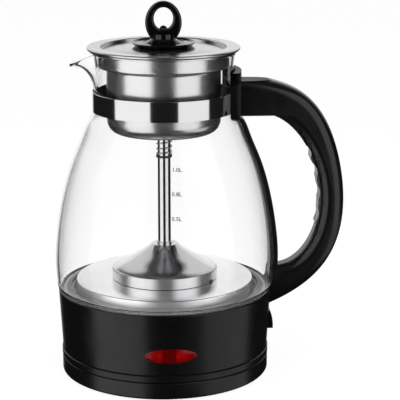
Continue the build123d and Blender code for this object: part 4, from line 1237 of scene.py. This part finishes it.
# ---------------------------------------------------------------- studio
@dataclass(frozen=True)
class Softbox:
    """Tall light that faces the axis. Angles are in degrees from the front, positive to the right."""
    name: str
    start: float
    end: float
    distance: float = 0.95
    low: float = -0.65
    high: float = 1.05
    radiance: float = 1.35

    def build(self) -> None:
        """Adds the lamp."""
        middle = math.radians((self.start + self.end) / 2)
        half = math.radians(abs(self.end - self.start) / 2)
        width = 2 * self.distance * math.tan(half)
        height = self.high - self.low
        lamp = bpy.data.lights.new(self.name, "AREA")
        lamp.shape = "RECTANGLE"
        lamp.size = width
        lamp.size_y = height
        lamp.energy = self.radiance * math.pi * width * height
        holder = bpy.data.objects.new(self.name, lamp)
        holder.location = (self.distance * math.sin(middle), -self.distance * math.cos(middle),
                           (self.low + self.high) / 2)
        holder.rotation_euler = Euler((math.radians(90), 0, middle))
        link(holder)


@dataclass
class Studio:
    """White studio: tall softboxes on both sides of the camera, floor, world and camera.

    The world's fields are spans of a direction's X, Y or Z, with Y to the rear. A glossy depth over
    mirror_depth means that a mirroring came before. floor_unseen is the floor's colour to diffuse rays.
    """
    distance: float = 1.1
    height: float = 0.396
    azimuth: float = -2.9
    pitch: float = 13.83
    pan: float = -1.335
    roll: float = 0.0
    lens: float = 142.0
    backdrop_rear: Span = (0.30, 0.80)
    backdrop_low: Span = (0.02, 0.16)
    backdrop_high: Span = (0.32, 0.50)
    backdrop_middle: Span = (0.88, 0.96)
    ceiling_edge: Span = (0.5, 0.95)
    ceiling: float = 0.12
    panel_side: Span = (0.18, 0.32)
    panel_rear: Span = (0.30, 0.46)
    panel_low: Span = (0.14, 0.24)
    panels: float = 0.75
    room: float = 0.012
    surroundings: float = 0.25
    mirror_depth: float = 0.5
    floor_radius: float = 2.4
    floor_steps: int = 96
    floor_matt: float = 0.32
    floor_glow: float = 0.90
    floor_unseen: float = 0.6

    def camera(self) -> None:
        """Adds the camera at the height and distance of a product picture."""
        data = bpy.data.cameras.new("camera")
        data.lens = self.lens
        data.sensor_width = 36.0
        data.clip_start = 0.05
        data.clip_end = 20.0
        camera = bpy.data.objects.new("camera", data)
        turn = math.radians(self.azimuth)
        spot = Vector((self.distance * math.sin(turn), -self.distance * math.cos(turn), self.height))
        look = Euler((math.radians(90 - self.pitch), 0, math.radians(self.azimuth + self.pan))).to_matrix()
        tilt = Matrix.Rotation(math.radians(self.roll), 3, "Z")
        camera.matrix_world = Matrix.Translation(spot) @ (look @ tilt).to_4x4()
        link(camera)
        bpy.context.scene.camera = camera

    def world(self) -> None:
        """White to the eye and through glass, grey to the rest, a dark room with white fields to gloss."""
        world = bpy.data.worlds.new("studio")
        world.use_nodes = True
        g = Graph(world.node_tree)
        path = g.node("ShaderNodeLightPath")
        direct = self.seen(g, path)
        x, y, z = g.axes(g.node("ShaderNodeTexCoord").outputs["Generated"])
        under = g.spread(z, *self.backdrop_high, 1.0, 0.0, "SMOOTHSTEP")
        backdrop = g.product(g.rise(y, self.backdrop_rear), g.rise(z, self.backdrop_low), under)
        gloss = g.math("MAXIMUM", backdrop, g.rise(z, self.ceiling_edge, self.ceiling))
        gloss = g.math("MAXIMUM", gloss, g.rise(y, self.backdrop_middle))
        aside = g.rise(g.math("ABSOLUTE", x), self.panel_side, self.panels)
        panels = g.product(aside, g.rise(y, self.panel_rear), g.rise(z, self.panel_low))
        gloss = g.math("MAXIMUM", g.math("MAXIMUM", gloss, panels), self.room)
        glossy = g.math("MAXIMUM", path.outputs["Is Glossy Ray"], path.outputs["Is Transmission Ray"])
        level = g.either(direct, 1.0, g.either(glossy, gloss, self.surroundings))
        back = g.node("ShaderNodeBackground", {"Color": (1.0, 1.0, 1.0, 1.0), "Strength": level})
        g.node("ShaderNodeOutputWorld", {"Surface": back.outputs[0]})
        bpy.context.scene.world = world

    def seen(self, graph: Graph, path: bpy.types.Node) -> Socket:
        """1 for what the camera sees straight or through glass, before any mirroring.

        Args:
            graph: Graph that it joins.
            path: The graph's Light Path node.

        Returns:
            The share, 0 or 1.
        """
        unmirrored = graph.math("LESS_THAN", path.outputs["Glossy Depth"], self.mirror_depth)
        through = graph.product(path.outputs["Is Transmission Ray"], unmirrored)
        return graph.math("MAXIMUM", path.outputs["Is Camera Ray"], through)

    def floor(self) -> None:
        """Pale floor that shows the shadow and melts into the white behind."""
        made = bmesh.new()
        bmesh.ops.create_circle(made, cap_ends=True, segments=self.floor_steps, radius=self.floor_radius)
        piece = finish_mesh("studio_floor", made)
        if piece.data.polygons[0].normal.z < 0:
            piece.data.flip_normals()
        s = Shader("studio_floor")
        path = s.node("ShaderNodeLightPath")
        matt, plain = (s.node("ShaderNodeBsdfDiffuse", {"Color": (grey, grey, grey, 1.0)}).outputs[0]
                       for grey in (self.floor_matt, self.floor_unseen))
        glow = s.node("ShaderNodeEmission", {"Color": (1.0, 1.0, 1.0, 1.0), "Strength": self.floor_glow})
        lit = s.node("ShaderNodeAddShader", {0: matt, 1: glow.outputs[0]}).outputs[0]
        shown = s.node("ShaderNodeMixShader", {0: self.seen(s, path), 1: plain, 2: lit}).outputs[0]
        gone = s.node("ShaderNodeBsdfTransparent").outputs[0]
        mirrored = s.math("GREATER_THAN", path.outputs["Glossy Depth"], self.mirror_depth)
        cover = s.node("ShaderNodeMixShader", {0: mirrored, 1: shown, 2: gone}).outputs[0]
        piece.data.materials.append(s.surface(cover))
        piece.visible_shadow = False

    def build(self) -> None:
        """Sets up the camera, the lamps, the world and the floor."""
        self.camera()
        Softbox("softbox_left", start=-24.0, end=-85.0, radiance=1.25).build()
        Softbox("softbox_right", start=19.5, end=72.0, low=-0.205, radiance=1.15).build()
        Softbox("softbox_right_low", start=39.0, end=98.0, high=-0.205, radiance=0.78).build()
        self.world()
        self.floor()
        bpy.context.scene.view_settings.view_transform = "Standard"
        LOG.info("studio ready")


def main() -> None:
    """Builds the studio and every sub-assembly in order."""
    logging.basicConfig(level=logging.INFO, format="%(message)s")
    Studio().build()
    palette = Palette()
    PackedNodes(palette).build()
    GlassJug(palette).build()
    IndicatorLens(palette).build()
    TubeSpring(palette).build()
    Fasteners(palette).build()


if __name__ == "__main__":
    main()
